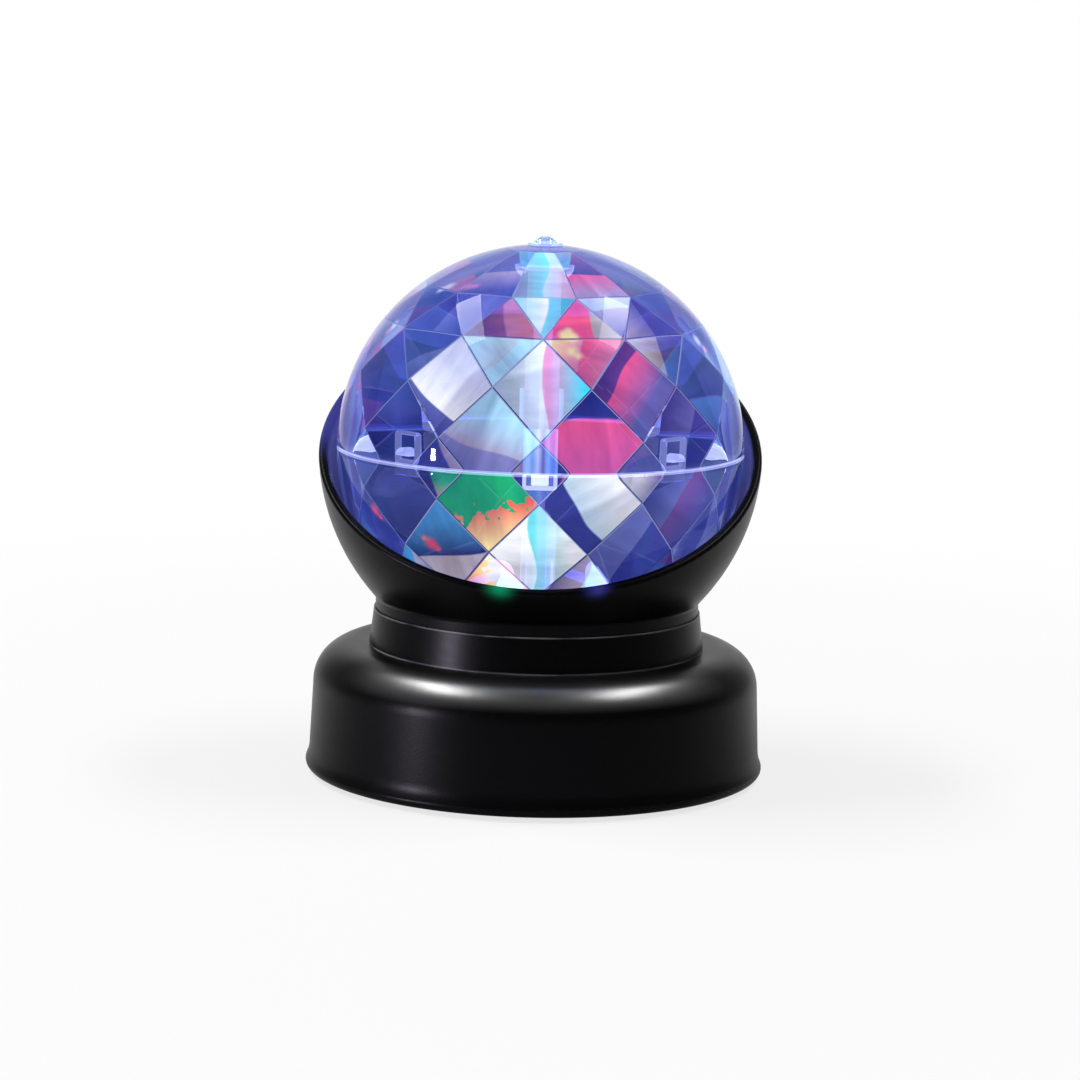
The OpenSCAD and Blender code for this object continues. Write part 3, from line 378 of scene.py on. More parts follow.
# Listed facets of the front, by half and ring: azimuth, slope of a break across the facet in degrees, the
# break's place in millimetres, and the colours from the facet's first side to the break and from the break
# to its last side. A ragged break is broken up into small patches
FRONT = {
    (1, "cut"): [
        (-15, -110, 2.5, CYAN, MAUVE, DUSK, LILAC),
        (15, -80, -4.5, NAVY, VIOLET, ROSE, MAGENTA),
        (-45, 20, 0.0, NAVY, VIOLET, VIOLET, NAVY),
        (45, -30, 1.0, VIOLET, LILAC, VIOLET, VIOLET),
    ],
    (1, "middle"): [
        (-30, 60, -4.5, VIOLET, LILAC, WHITE, MIST),
        (0, 0, 1.2, PALE, WHITE, PINK, ICE),
        (30, -40, -4.0, NAVY, PURPLE, ROSE, LILAC),
        (-60, -30, 1.0, VIOLET, NAVY, VIOLET, LILAC),
        (60, 200, 1.0, VIOLET, VIOLET, NAVY, VIOLET),
    ],
    (1, "near"): [
        (-15, -40, 1.0, CYAN, PALE, CYAN, CYAN),
        (15, -25, -1.5, YELLOW, PINK, ROSE, PINK),
        (-45, -60, 2.0, VIOLET, VIOLET, LILAC, VIOLET),
        (45, -20, -1.0, WHITE, GREY, LILAC, VIOLET),
    ],
    (1, "far"): [
        (-15, 10, -1.0, VIOLET, PLUM, BLUSH, PINK),
        (15, 10, 2.5, ROSE, ROSE, GREY, WHITE),
        (-45, 150, 0.0, VIOLET, LILAC, VIOLET, VIOLET),
        (45, 20, 0.0, GREY, LILAC, VIOLET, VIOLET),
    ],
    (1, "last"): [
        (0, 0, 0.6, AQUA, WHITE, AQUA, SKY),
        (30, -90, -1.0, WHITE, PALE, GREY, VIOLET),
        (-30, 40, 1.0, VIOLET, VIOLET, LILAC, VIOLET),
        (60, 10, 0.0, LILAC, VIOLET, VIOLET, NAVY),
    ],
    (1, "panel"): [
        (0, 0, 0.3, PLUM, AQUA, PALE, PINK),
        (30, -90, 0.5, PURPLE, VIOLET, ROSE, MAUVE),
        (-30, -70, 0.0, VIOLET, LILAC, MAUVE, VIOLET),
    ],
    (-1, "cut"): [
        (-15, -80, 1.6, GREEN, GREEN, EMBER, AMBER, "ragged"),
        (15, 30, -2.0, VIOLET, VIOLET, PALE, WHITE),
        (-45, 30, 0.0, NAVY, NAVY, NAVY, VIOLET),
        (45, -40, 0.0, VIOLET, LILAC, PURPLE, VIOLET),
    ],
    (-1, "middle"): [
        (0, 0, -1.0, WHITE, WHITE, AQUA, WHITE),
        (-30, -80, 2.0, SKY, NAVY, GREY, GREY),
        (30, -30, 0.0, LILAC, LILAC, VIOLET, VIOLET),
        (-60, -60, 0.0, NAVY, NAVY, SKY, NAVY),
        (60, 0, 0.0, VIOLET, VIOLET, LILAC, VIOLET),
    ],
    (-1, "near"): [
        (-15, 0, 0.0, EMBER, AMBER, WHITE, WHITE, "ragged"),
        (15, 0, 0.0, VIOLET, MAUVE, CYAN, WHITE),
        (-45, 0, 0.0, NAVY, SKY, GREY, NAVY),
        (45, 0, 0.0, VIOLET, VIOLET, NAVY, NAVY),
    ],
    (-1, "far"): [
        (-15, 0, 0.0, AMBER, EMBER, GREEN, WHITE, "ragged"),
        (15, 0, 0.0, SKY, CYAN, VIOLET, VIOLET),
    ],
}
BREAK_REACH = 8 * MM
RAGGED = 2.0

# Fainter, cooler copies of the front's light, turned round the ball. Shares are for the lower and upper half
COPY_TURNS = (120, 240)
COPY_TINT = np.array([0.62, 0.92, 1.00])
SIDE_TO = 110
SIDE_SHARES = (0.22, 0.45)
BACK_SHARES = (0.06, 0.22)
SPLASH_FROM = 70
SPLASH_SHARE = 0.25

# Pattern of the facets, and the painted highlight and shade on their borders
FACET_TONES = (0.85, 1.2)
FACET_ZOOM = 0.4
SHARD_REACH = 6 * MM
SHARD_START = 4 * MM
# Colours of the painted highlight and the painted shade on the borders
EDGE_PAINTED_HIGHLIGHT = np.array([0.26, 0.29, 0.44])
EDGE_PAINTED_SHADE = np.array(NAVY)
EDGE_LEFTWARD = 0.5
EDGE_SOFT = 0.4
EDGE_CLEAR = (0.35, 0.95)
EDGE_FAINT = 0.35


def behind_wall(light):
    """Light made up for what the painted violet tint of the wall in front of it takes away."""
    return light / np.sqrt(BALL_LIGHT_TINT)


def all_splashes():
    """The front's splashes and, round the back, fainter and cooler copies of those in the upper half."""
    for azimuth, latitude, *size, colour in SPLASHES:
        yield azimuth, latitude, *size, np.array(colour), 1.0
        for turn in COPY_TURNS:
            place = (azimuth + turn) % 360
            if SPLASH_FROM < place < 360 - SPLASH_FROM and latitude > 0:
                yield place, latitude, *size, np.array(colour) * COPY_TINT, SPLASH_SHARE


def spot_share(way, azimuth, latitude, reach, soft):
    """1 within the reach of a place on the ball, 0 outside it, with a soft border."""
    angle = np.degrees(np.arccos(np.clip(way @ direction(azimuth, latitude), -1, 1)))
    return eased((reach - angle) / soft + 0.5)[..., None]


def thrown_light(points):
    """Colour of the light at points about the ball's centre: a violet haze that grows paler towards the top,
    and round splashes that fade from their middle over a soft border."""
    way = unit(points)
    height = way[..., 2:] * 0.5 + 0.5
    colour = GLOW_LOW + (GLOW_HIGH - GLOW_LOW) * height
    for *spot, shade, strength in all_splashes():
        share = strength * spot_share(way, *spot)
        colour = colour * (1 - share) + shade * share
    return colour


# Shares along the sides of a facet, and down and across its grid
SHARES = np.linspace(0, 1, FACET_STEPS + 1)
DOWN = SHARES[:, None, None]
ACROSS = SHARES[None, :, None]


def fan(apex, left, right):
    """Grids that fill triangles: rows from the apex, where they close, out to the opposite side."""
    base = left[:, None, None] * (1 - ACROSS) + right[:, None, None] * ACROSS
    return apex[:, None, None] * (1 - DOWN) + base * DOWN


def sheet(first, second, third, fourth):
    """Grids that fill four-sided pieces, straight between their four corners in turn."""
    start = first[:, None, None] * (1 - ACROSS) + second[:, None, None] * ACROSS
    end = fourth[:, None, None] * (1 - ACROSS) + third[:, None, None] * ACROSS
    return start * (1 - DOWN) + end * DOWN


def inset(outline):
    """Outlines of shape (count, corners, 3), each drawn in by the width of an edge."""
    ahead = unit(np.roll(outline, -1, 1) - outline)
    behind = unit(np.roll(outline, 1, 1) - outline)
    sine = np.linalg.norm(np.cross(ahead, behind), axis=-1, keepdims=True)
    return outline + EDGE_W * (ahead + behind) / sine


class Facets:
    """A ring of like facets: flat middles drawn in from their outlines, and slanted borders whose outer edge
    is lifted off the wall, so that each edge shows as a fine line."""

    def __init__(self, outline, rng, looks=()):
        self.outline = outline
        self.inner = inset(outline)
        self.middle = self.inner.mean(1)[:, None, None]
        count = (len(outline), 1, 1)
        self.tone = rng.uniform(*FACET_TONES, (*count, 1))
        outward = unit(self.middle)
        self.along = unit(np.cross(outward, rng.normal(size=(*count, 3))))
        turn = rng.uniform(0, math.tau, (*count, 1))
        self.jump = SHARD_REACH * (np.cos(turn) * self.along + np.sin(turn) * np.cross(outward, self.along))
        start = rng.uniform(-SHARD_START, SHARD_START, (*count, 2))
        self.start = np.concatenate([start, rng.uniform(0, 1, (*count, 1))], -1)
        self.stops = np.full((*count, 4, 3), np.nan)
        self.choose(outward, looks)
        self.across = np.cross(outward, self.along)

    def choose(self, outward, looks):
        """Gives listed facets, and their fainter copies round the ball, their own break and colours."""
        right = unit(np.cross([0, 0, 1], outward))
        rise = np.cross(outward, right)
        azimuths = np.degrees(np.arctan2(outward[:, 0, 0, 0], -outward[:, 0, 0, 1]))
        half = int(outward[0, 0, 0, 2] > 0)
        for azimuth, slope, place, *stops in looks:
            slope = math.radians(slope)
            for turn in (0, *COPY_TURNS):
                i = np.argmin(np.abs((azimuths - azimuth - turn + 180) % 360 - 180))
                shares = SIDE_SHARES if abs(azimuths[i]) < SIDE_TO else BACK_SHARES
                share = shares[half] if turn else 1.0
                colours = np.array(stops[:4]) * (COPY_TINT if turn else 1.0)
                self.along[i] = math.cos(slope) * right[i] + math.sin(slope) * rise[i]
                self.start[i, ..., 0] = -place * MM
                self.start[i, ..., 2] += RAGGED * len(stops[4:])
                self.stops[i] = share * colours + (1 - share) * np.array(VIOLET)

    def chosen(self, streak, glow, second):
        """The light, with the listed facets' colours: from the first to the second before the break, and from
        the third to the fourth beyond it."""
        share = np.clip(streak[..., :1] / BREAK_REACH, -1, 1)
        a, b, c, d = np.moveaxis(self.stops, -2, 0)
        before = b + (a - b) * np.maximum(-share, 0)
        beyond = c + (d - c) * np.maximum(share, 0)
        return np.where(np.isnan(a), glow, before), np.where(np.isnan(a), second, beyond)

    def streak(self, grid):
        """Place in the pattern of streaks, along and across the facet's own direction from its own start."""
        offset = grid - self.middle
        parts = [(offset * way).sum(-1, keepdims=True) for way in (self.along, self.across)]
        return np.concatenate([*parts, 0 * parts[0]], -1) + self.start

    def lay(self, skin, parts):
        """Lays the middles, each in parts between some of its corners, and then the borders."""
        for part in parts:
            self.lay_middle(skin, [self.inner[:, i] for i in part])
        self.lay_borders(skin)

    def lay_middle(self, skin, corners):
        """Lays a flat piece between three or four corners, with its two lights and the bright spots. A facet
        shows the light of its own place, drawn smaller about its middle."""
        grid = fan(*corners) if len(corners) == 3 else sheet(*corners)
        seen = self.middle + FACET_ZOOM * (grid - self.middle)
        light = (thrown_light(view) * self.tone for view in (seen, seen + self.jump))
        light = np.stack(self.chosen(self.streak(grid), *light))
        for *spot, colour in SPOTS:
            share = spot_share(unit(grid), *spot)
            light = light * (1 - share) + np.array(colour) * share
        skin.add(grid + BALL_CENTRE, -grid, *behind_wall(light), self.streak(grid))

    def lay_borders(self, skin):
        """Lays the borders. A border gets a painted highlight where it looks up and to the left, and painted
        shade where it looks down, and it fades into its facet's own light away from the front. None is lifted
        at the seam."""
        lifted = np.abs(self.outline[..., 2:]) > 2 * SEAM_GAP
        outer = self.outline * np.where(lifted, 1 - EDGE_LIFT / FACET_R, 1.0)
        middle = self.middle[:, 0, 0]
        leftward = unit(np.cross(middle, [0, 0, 1]))
        own = self.stops[..., 1:3, :].mean(-2)
        own = np.where(np.isnan(own), thrown_light(self.middle) * self.tone, own)
        low, high = EDGE_CLEAR
        clear = EDGE_FAINT + (1 - EDGE_FAINT) * eased((-unit(self.middle)[..., 1:2] - low) / (high - low))
        for i in range(self.outline.shape[1]):
            j = (i + 1) % self.outline.shape[1]
            rows = [between(ring[:, i], ring[:, j], SHARES) for ring in (self.inner, outer)]
            grid = np.moveaxis(np.stack(rows), 2, 0)
            away = unit(outer[:, i] + outer[:, j] - 2 * middle)
            facing = away[:, 2] - EDGE_LEFTWARD * (away * leftward).sum(-1)
            bright = eased(facing / EDGE_SOFT + 0.5)[:, None, None, None]
            glow = EDGE_PAINTED_SHADE + (EDGE_PAINTED_HIGHLIGHT - EDGE_PAINTED_SHADE) * bright
            glow = own + (glow - own) * clear
            skin.add(grid + BALL_CENTRE, -grid, behind_wall(glow))


def at_mouth(points, radius):
    """The points moved onto the mouth's circle on a sphere of this radius."""
    return unit(points * [1, 1, 0]) * math.sqrt(radius**2 - MOUTH_Z**2) + np.array([0, 0, MOUTH_Z])


def facet_rows(side):
    """Rows of corners about the ball's centre, from beyond the seam to the pole or, in the lower half, to the
    mouth. Even rows are turned by half a facet."""
    rows = []
    for row, latitude in enumerate([*ROWS, POLE_LAT] if side > 0 else ROWS):
        shift = 0.0 if min(row, LAST_ROW) % 2 else 0.5
        corners = FACET_R * direction((np.arange(ROUND) + shift) * TURN, latitude)
        rows.append(corners * [1, 1, side])
    if side < 0:
        rows[-1] = at_mouth(rows[-1], FACET_R)
    return rows


def seam_cut(low, high):
    """Points where the lines from low to high cross the seam's plane."""
    share = low[..., 2:] / (low[..., 2:] - high[..., 2:])
    return low + (high - low) * share


def following(ring, steps=1):
    """The same ring, begun some corners later."""
    return np.roll(ring, -steps, 0)


def closed_walk(*corners):
    """One closed row of points along the straight lines between rings of corners taken in turn."""
    lines = [between(first, second, SHARES[:-1]) for first, second in zip(corners, corners[1:])]
    walk = np.moveaxis(np.concatenate(lines), 1, 0).reshape(-1, 3)
    return np.concatenate([walk, walk[:1]])


def diamonds(rows, row):
    """Outlines of the diamonds about a row of corners, from the row before it to the row after it."""
    step = 1 - row % 2
    low, high = following(rows[row - 1], step), following(rows[row + 1], step)
    return np.stack([low, following(rows[row]), high, rows[row]], 1)


def lay_facets(skin, side, rows, left, right):
    """Lays the facets of a half: triangles and diamonds cut by the seam, whole diamonds, diamonds folded in
    two, triangles and, in the upper half, the panels round the pole."""
    rng = np.random.default_rng(SEED + side)
    Facets(np.stack([rows[1], right, left], 1), rng).lay(skin, [(0, 2, 1)])
    cut_diamond = np.stack([right, following(left), following(rows[1]), rows[2], rows[1]], 1)
    Facets(cut_diamond, rng, FRONT[side, "cut"]).lay(skin, [(0, 1, 2, 4), (3, 4, 2)])
    Facets(diamonds(rows, 2), rng, FRONT[side, "middle"]).lay(skin, [(0, 3, 1), (2, 3, 1)])
    folded = diamonds(rows, 3)
    for ring, corners in (("near", (0, 1, 3)), ("far", (2, 1, 3))):
        Facets(folded[:, corners], rng, FRONT[side, ring]).lay(skin, [(0, 2, 1)])
    end = rows[LAST_ROW]
    last = np.stack([following(rows[LAST_ROW - 1]), following(end), end], 1)
    Facets(last, rng, FRONT.get((side, "last"), ())).lay(skin, [(0, 2, 1)])
    if side > 0:
        panel = np.stack([end, following(end), following(rows[-1]), rows[-1]], 1)
        Facets(panel, rng, FRONT[side, "panel"]).lay(skin, [(0, 1, 2, 3)])


def lay_pole(skin, ring):
    """Lays the flat piece inside the pole, within the last ring of corners."""
    ring = ring * (1 - EDGE_LIFT / FACET_R)
    hub = np.broadcast_to(ring.mean(0), ring.shape)
    grid = fan(hub, ring, following(ring))
    skin.add(grid + BALL_CENTRE, -grid, behind_wall(thrown_light(grid)))


def lay_wall(skin, side, inner, lifted):
    """Lays the flat seam from the facets out to a bevel, the bevel, and the sphere outside."""
    outward = unit(inner * [1, 1, 0])
    bevel = outward * (BALL_R - SEAM_BEVEL) + lifted
    skin.add(np.stack([inner, bevel]) + BALL_CENTRE, (0, 0, -side), GLOW_SEAM)
    first_lat = math.asin((SEAM_BEVEL + SEAM_GAP) / BALL_R)
    last_lat = math.pi / 2 if side > 0 else math.asin(-MOUTH_Z / BALL_R)
    lats = np.linspace(first_lat, last_lat, SPHERE_ROWS)[:, None, None]
    sphere = BALL_R * (np.cos(lats) * outward + np.sin(lats) * np.array([0, 0, side]))
    skin.add(np.stack([bevel, sphere[0]]) + BALL_CENTRE, outward, GLOW_BEVEL)
    skin.add(sphere + BALL_CENTRE, sphere, smooth=True)


def dome(name, side, material):
    """Half of the ball's wall: a smooth sphere outside, flat facets inside, and a flat seam between them.
    Side is 1 for the upper half and -1 for the lower half, which is open at the bottom."""
    skin = Skin()
    rows = facet_rows(side)
    lifted = np.array([0, 0, side * SEAM_GAP])
    left = seam_cut(following(rows[0], -1), rows[1]) + lifted
    right = seam_cut(rows[0], rows[1]) + lifted
    lay_facets(skin, side, rows, left, right)
    if side > 0:
        lay_pole(skin, rows[-1])
    lay_wall(skin, side, closed_walk(left, right, following(left)), lifted)
    if side < 0:
        lip = closed_walk(rows[-1], following(rows[-1]))
        skin.add(np.stack([lip, at_mouth(lip, BALL_R)]) + BALL_CENTRE, (0, 0, -1), GLOW_SEAM)
    return skin.build(name, material)


# Clips at the seam: large tabs of the upper half and window catches of the lower half
CLIP_T = 1.3 * MM
CLIP_ROUND = 0.25 * MM
ROUND_STEPS = 4
TAB_R = 40.76 * MM
TAB_W = 7.2 * MM
TAB_UP = 9.0 * MM
TAB_DOWN = 3.6 * MM
TAB_BAR = 0.8 * MM
TAB_CORNER = 0.4 * MM
TAB_PLACES = (0, 90, 180, 270)
STRIPE_STEPS = 12
WEDGE_W = 3.6 * MM
WEDGE_H = 1.6 * MM
WEDGE_ROUND = 0.3 * MM
CATCH_R = 40.06 * MM
CATCH_W = 6.4 * MM
CATCH_DOWN = 3.0 * MM
CATCH_BAR = 0.75 * MM
CATCH_CORNER = 0.5 * MM
CATCH_PLACES = (45, 135, 225, 315)
BAR_ROUND = 0.25
BAR_STEPS = 2
BUMP_R = 1.7 * MM
BUMP_LIFT = 0.15 * MM
BUMP_CENTRE = 0.4
BUMP_FLAT = 0.85
BUMP_FRONT = 0.7
BUMP_STEPS = 16

# Light in the clips, and its strength in each
CLIP_LIGHT = np.array([0.10, 0.11, 0.20]) / BALL_LIGHT_TINT
CLIP_STRIPES = behind_wall(np.array([SKY, CYAN, TEAL, WHITE, NAVY, CYAN, SKY, PALE]))
WINDOW_GAIN = 4
BUMP_GAIN = 2.5
ROOT_GAIN = 0.4
WEDGE_GAIN = 6


def quarters(steps):
    """Angles round a circle with each quarter's ends kept, and the signs of cosine and sine in each."""
    turn = np.concatenate([np.linspace(0, math.pi / 2, steps + 1) + k * math.pi / 2 for k in range(4)])
    signs = np.repeat([(1, 1), (-1, 1), (-1, -1), (1, -1)], steps + 1, 0).T
    return np.append(turn, 0.0), np.append(signs, [[1], [1]], 1)


def rounded_box(half, radius):
    """Box about the origin with round edges: the inner corner nearest to each direction plus the radius times
    that direction, with a point at both ends."""
    turn, (side_x, side_y) = quarters(ROUND_STEPS)
    rise = np.linspace(0, math.pi / 2, ROUND_STEPS + 1)
    tilt = np.concatenate([rise - math.pi / 2, rise])[:, None]
    side_z = np.repeat([-1, 1], ROUND_STEPS + 1)[:, None]
    core = np.asarray(half) - radius
    grid = np.stack(np.broadcast_arrays(
        side_x * core[0] + radius * np.cos(tilt) * np.cos(turn),
        side_y * core[1] + radius * np.cos(tilt) * np.sin(turn),
        side_z * core[2] + radius * np.sin(tilt)), -1)
    end = np.broadcast_to([0, 0, half[2]], (1, len(turn), 3))
    return np.concatenate([-end, grid, end])


def window_frame(width, height, bar, corner):
    """Frame that stands in X and Z: a bar with round edges carried round a rectangle with round corners.
    Gives the points and, for each, the way out of the bar."""
    turn, sides = quarters(ROUND_STEPS)
    way = np.stack([np.cos(turn), np.sin(turn)])
    core = np.array([[width], [height]]) / 2 - bar / 2 - corner
    path = sides * core + corner * way
    edge, (side_a, side_b) = quarters(BAR_STEPS)
    soft = BAR_ROUND * bar
    a = side_a * (bar / 2 - soft) + soft * np.cos(edge)
    b = side_b * (CLIP_T / 2 - soft) + soft * np.sin(edge)
    out = np.stack(np.broadcast_arrays(way[0][:, None] * a, b, way[1][:, None] * a), -1)
    centre = np.stack([path[0], 0 * turn, path[1]], -1)[:, None]
    return centre + out, out


def half_round(radius, depth):
    """Half disc that stands on its flat side in X and Z, with a depth along Y and a slanted front edge."""
    turn = np.append(np.linspace(0, math.pi, BUMP_STEPS + 1), 0.0)
    arc = np.stack([np.cos(turn), 0 * turn, np.sin(turn)], -1) * radius
    middle = np.zeros_like(arc) + [0, 0, radius * BUMP_CENTRE]
    rim = middle + (arc - middle) * BUMP_FLAT
    deep = np.array([0, depth / 2, 0])
    return np.stack([middle - deep, rim - deep, arc - deep * BUMP_FRONT, arc + deep, middle + deep])


def turned(vectors, places):
    """Copies of a grid of vectors turned about the ball's axis, one for each azimuth in degrees."""
    turn = np.radians(np.asarray(places))[:, None, None]
    x, y, z = np.moveaxis(vectors, -1, 0)
    x, y = x * np.cos(turn) - y * np.sin(turn), x * np.sin(turn) + y * np.cos(turn)
    return np.stack(np.broadcast_arrays(x, y, z), -1)


def refined(grid, steps):
    """The same grid with straight steps put in between its columns."""
    share = np.linspace(0, 1, steps, endpoint=False)[:, None]
    fine = grid[:, :-1, None] * (1 - share) + grid[:, 1:, None] * share
    return np.concatenate([fine.reshape(len(grid), -1, 3), grid[:, -1:]], 1)


def add_clips(skin, grid, towards, centre, places, glow):
    """Adds copies of a grid at a centre in front of the ball's axis, turned to each place."""
    skin.add(turned(grid + np.array(centre), places) + BALL_CENTRE, turned(towards, places), glow)


def striped(grid, width):
    """Stripes of colour across a width along X."""
    stops = np.linspace(-width / 2, width / 2, len(CLIP_STRIPES))
    return np.stack([np.interp(grid[..., 0], stops, channel) for channel in np.transpose(CLIP_STRIPES)], -1)


def upper_clips(material):
    """Large tabs with a window below the seam, and the half-round bumps that fill the catches."""
    skin = Skin()
    depth = TAB_R - CLIP_T / 2
    plate = refined(rounded_box((TAB_W / 2, CLIP_T / 2, TAB_UP / 2), CLIP_ROUND), STRIPE_STEPS)
    add_clips(skin, plate, plate, (0, -depth, TAB_UP / 2 + SEAM_GAP), TAB_PLACES, striped(plate, TAB_W))
    window, out = window_frame(TAB_W, TAB_DOWN, TAB_BAR, TAB_CORNER)
    add_clips(skin, window, out, (0, -depth, -TAB_DOWN / 2), TAB_PLACES, CLIP_LIGHT * WINDOW_GAIN)
    bump = half_round(BUMP_R, 2 * CLIP_T)
    out = bump - bump.reshape(-1, 3).mean(0)
    add_clips(skin, bump, out, (0, -CATCH_R, CLIP_T + BUMP_LIFT), CATCH_PLACES, CLIP_LIGHT * BUMP_GAIN)
    return skin.build("ball_upper_clips", material)


def lower_clips(material):
    """Window catches that stand up past the seam on short roots, and the wedges that hold the tabs."""
    skin = Skin()
    depth = CATCH_R - CLIP_T / 2
    window, out = window_frame(CATCH_W, CATCH_W, CATCH_BAR, CATCH_CORNER)
    add_clips(skin, window, out, (0, -depth, CATCH_W / 2), CATCH_PLACES, CLIP_LIGHT)
    root = rounded_box((CATCH_W / 2, CLIP_T / 2, CATCH_DOWN / 2), CLIP_ROUND)
    below = -CATCH_DOWN / 2 - SEAM_GAP
    add_clips(skin, root, root, (0, -depth, below), CATCH_PLACES, CLIP_LIGHT * ROOT_GAIN)
    wedge = rounded_box((WEDGE_W / 2, CLIP_T / 2, WEDGE_H / 2), WEDGE_ROUND)
    add_clips(skin, wedge, wedge, (0, -TAB_R, -TAB_DOWN / 2), TAB_PLACES, CLIP_LIGHT * WEDGE_GAIN)
    return skin.build("ball_lower_clips", material)


# Socket under the pole that takes the column's end, and the pad on top
SOCKET_R = 5.6 * MM
SOCKET_H = 4.0 * MM
SOCKET_BORE = 3.3 * MM
SOCKET_GAP = 0.05 * MM
SOCKET_BEVEL = 0.25 * MM
SOCKET_LIGHT = np.array([0.03, 0.22, 0.30]) / BALL_LIGHT_TINT
FLANGE_R = 6.6 * MM
FLANGE_H = 0.8 * MM
FLANGE_LIGHT = np.array([0.16, 0.18, 0.30]) / BALL_LIGHT_TINT
PAD_R = 3.9 * MM
PAD_BORE = 1.35 * MM
PAD_GAP = 0.03 * MM
PAD_BEVEL = 0.15 * MM
PAD_STEPS = 8
PAD_LIGHT = (0.25, 0.28, 0.40)
POLE_FLAT = math.sqrt(FACET_R**2 - POLE_RING_R**2)
REVOLVE_STEPS = 96


def revolve(skin, profile, glow):
    """Closed profile of radius and height, carried round the ball's axis."""
    profile = np.array(profile + profile[:1])
    turn = np.linspace(0, math.tau, REVOLVE_STEPS + 1)
    way = np.stack([np.cos(turn), np.sin(turn), 0 * turn], -1)
    rise = np.array([0, 0, 1.0])
    centre = profile[:-1].mean(0)
    grid = profile[:, None, :1] * way + profile[:, None, 1:] * rise
    out = (profile - centre)[:, None, :1] * way + (profile - centre)[:, None, 1:] * rise
    skin.add(grid + BALL_CENTRE, out, glow)


def pole_socket(material):
    """Ring round the column's end with a flange at its foot, and a round pad on the outside of the pole."""
    skin = Skin()
    foot = POLE_FLAT - SOCKET_H
    step = foot + FLANGE_H
    top = POLE_FLAT - SOCKET_GAP
    cut = SOCKET_BEVEL
    revolve(skin, [(SOCKET_BORE, step), (SOCKET_R, step), (SOCKET_R, top - cut), (SOCKET_R - cut, top),
                   (SOCKET_BORE, top)], SOCKET_LIGHT)
    revolve(skin, [(SOCKET_BORE, foot), (FLANGE_R - cut, foot), (FLANGE_R, foot + cut),
                   (FLANGE_R, step - cut), (SOCKET_BORE, step - SOCKET_GAP)], FLANGE_LIGHT)
    radii = np.linspace(PAD_R, PAD_BORE, PAD_STEPS)
    under = [(radius, math.sqrt(BALL_R**2 - radius**2) + PAD_GAP) for radius in radii]
    top = BALL_R + PAD_H
    revolve(skin, under + [(PAD_BORE, top), (PAD_R - PAD_BEVEL, top), (PAD_R, top - PAD_BEVEL)], PAD_LIGHT)
    return skin.build("ball_pole", material)


# Clear plastic and the pattern of the light in it
BALL_IOR = 1.18
CLEAR_IOR = 1.49
BEND_SIZE = 15 * MM
BEND_REACH = 6 * MM
PATCH_SIZE = 2.2 * MM
PATCH_REACH = 16 * MM
STREAK_SIZE = 2.4 * MM
STREAK_DRAWN = (0.3, 1, 1)
BREAK_SOFT = 0.25 * MM
FOLD_SOFT = 0.9 * MM
ROD_STRIPES = [
    (0.00, (0.9, 0.9, 0.7)),
    (0.26, (0.9, 0.3, 0.4)),
    (0.34, (0.1, 0.3, 0.2)),
    (0.40, (0.1, 1.0, 0.4)),
    (0.46, (0.2, 0.9, 0.7)),
    (0.49, (1.0, 1.0, 0.8)),
    (0.52, (1.0, 1.0, 0.9)),
    (0.56, (0.2, 0.6, 0.8)),
    (0.64, (0.7, 0.8, 0.9)),
    (0.72, (1.0, 0.3, 0.5)),
    (1.00, (0.9, 0.9, 0.7)),
]


def clear_ball():
    """Clear polished plastic with a violet tint that is painted light, as the plastic itself is clear, lit
    from inside by the colours stored on its facets. A wavy break parts the two colours, and streaks, a haze
    and a fold make them uneven."""
    finish = Finish("clear_ball")
    glow, second, place = (
        finish.add("ShaderNodeAttribute", None, "Vector", attribute_name=label) for label in Skin.LAYERS)
    along, across, mark = finish.axes(place)
    haze = finish.noise(9 * MM, 2)
    bend = finish.noise(BEND_SIZE, 0, place)
    swirl = finish.step(bend, 0.38, 0.62)
    ragged = finish.step(mark, RAGGED - 0.8, RAGGED - 0.2)
    patches = ragged * (finish.noise(PATCH_SIZE, 4, place) - 0.5)
    moved = BEND_REACH * (bend - 0.5)
    beyond = finish.step(along + moved + PATCH_REACH * patches, -BREAK_SOFT, BREAK_SOFT)
    above = finish.step(across - moved, -FOLD_SOFT, FOLD_SOFT)
    streaks = finish.noise(STREAK_SIZE, 2, finish.stretched(STREAK_DRAWN, place))
    amount = (0.84 + 0.3 * above) * (0.45 + 0.64 * streaks + 0.15 * haze + 0.25 * swirl)
    return finish.surface(
        Base_Color=(*BALL_LIGHT_TINT, 1),
        Roughness=0.008 + 0.02 * haze,
        IOR=BALL_IOR,
        Transmission_Weight=1.0,
        Emission_Color=finish.scaled(finish.mix(beyond, glow, second), amount),
        Emission_Strength=1.0,
    )


def clear_rod():
    """Clear rod that carries soft upright stripes of coloured light."""
    finish = Finish("clear_column")
    x, y, _ = finish.axes()
    turn = x.math("ARCTAN2", x, 0.0 - y)
    flow = finish.noise(4 * MM, 2, finish.stretched((1, 1, 0.12)))
    return finish.surface(
        Base_Color=(0.8, 0.9, 0.95, 1),
        Roughness=0.04 + 0.05 * flow,
        IOR=CLEAR_IOR,
        Specular_IOR_Level=0.2,
        Transmission_Weight=0.75,
        Emission_Color=finish.scaled(finish.ramp(turn / math.tau + 0.5, ROD_STRIPES), 0.1 + 0.6 * flow),
        Emission_Strength=1.0,
    )


def clear_stud():
    """Clear polished stud with a faint inner light."""
    finish = Finish("clear_stud")
    swirl = finish.noise(1.5 * MM, 3)
    return finish.surface(
        Base_Color=(0.80, 0.90, 0.92, 1),
        Roughness=0.03 + 0.06 * swirl,
        IOR=CLEAR_IOR,
        Transmission_Weight=0.9,
        Emission_Color=finish.mix(swirl, (0.02, 0.06, 0.06), (0.20, 0.26, 0.30)),
        Emission_Strength=0.6,
    )
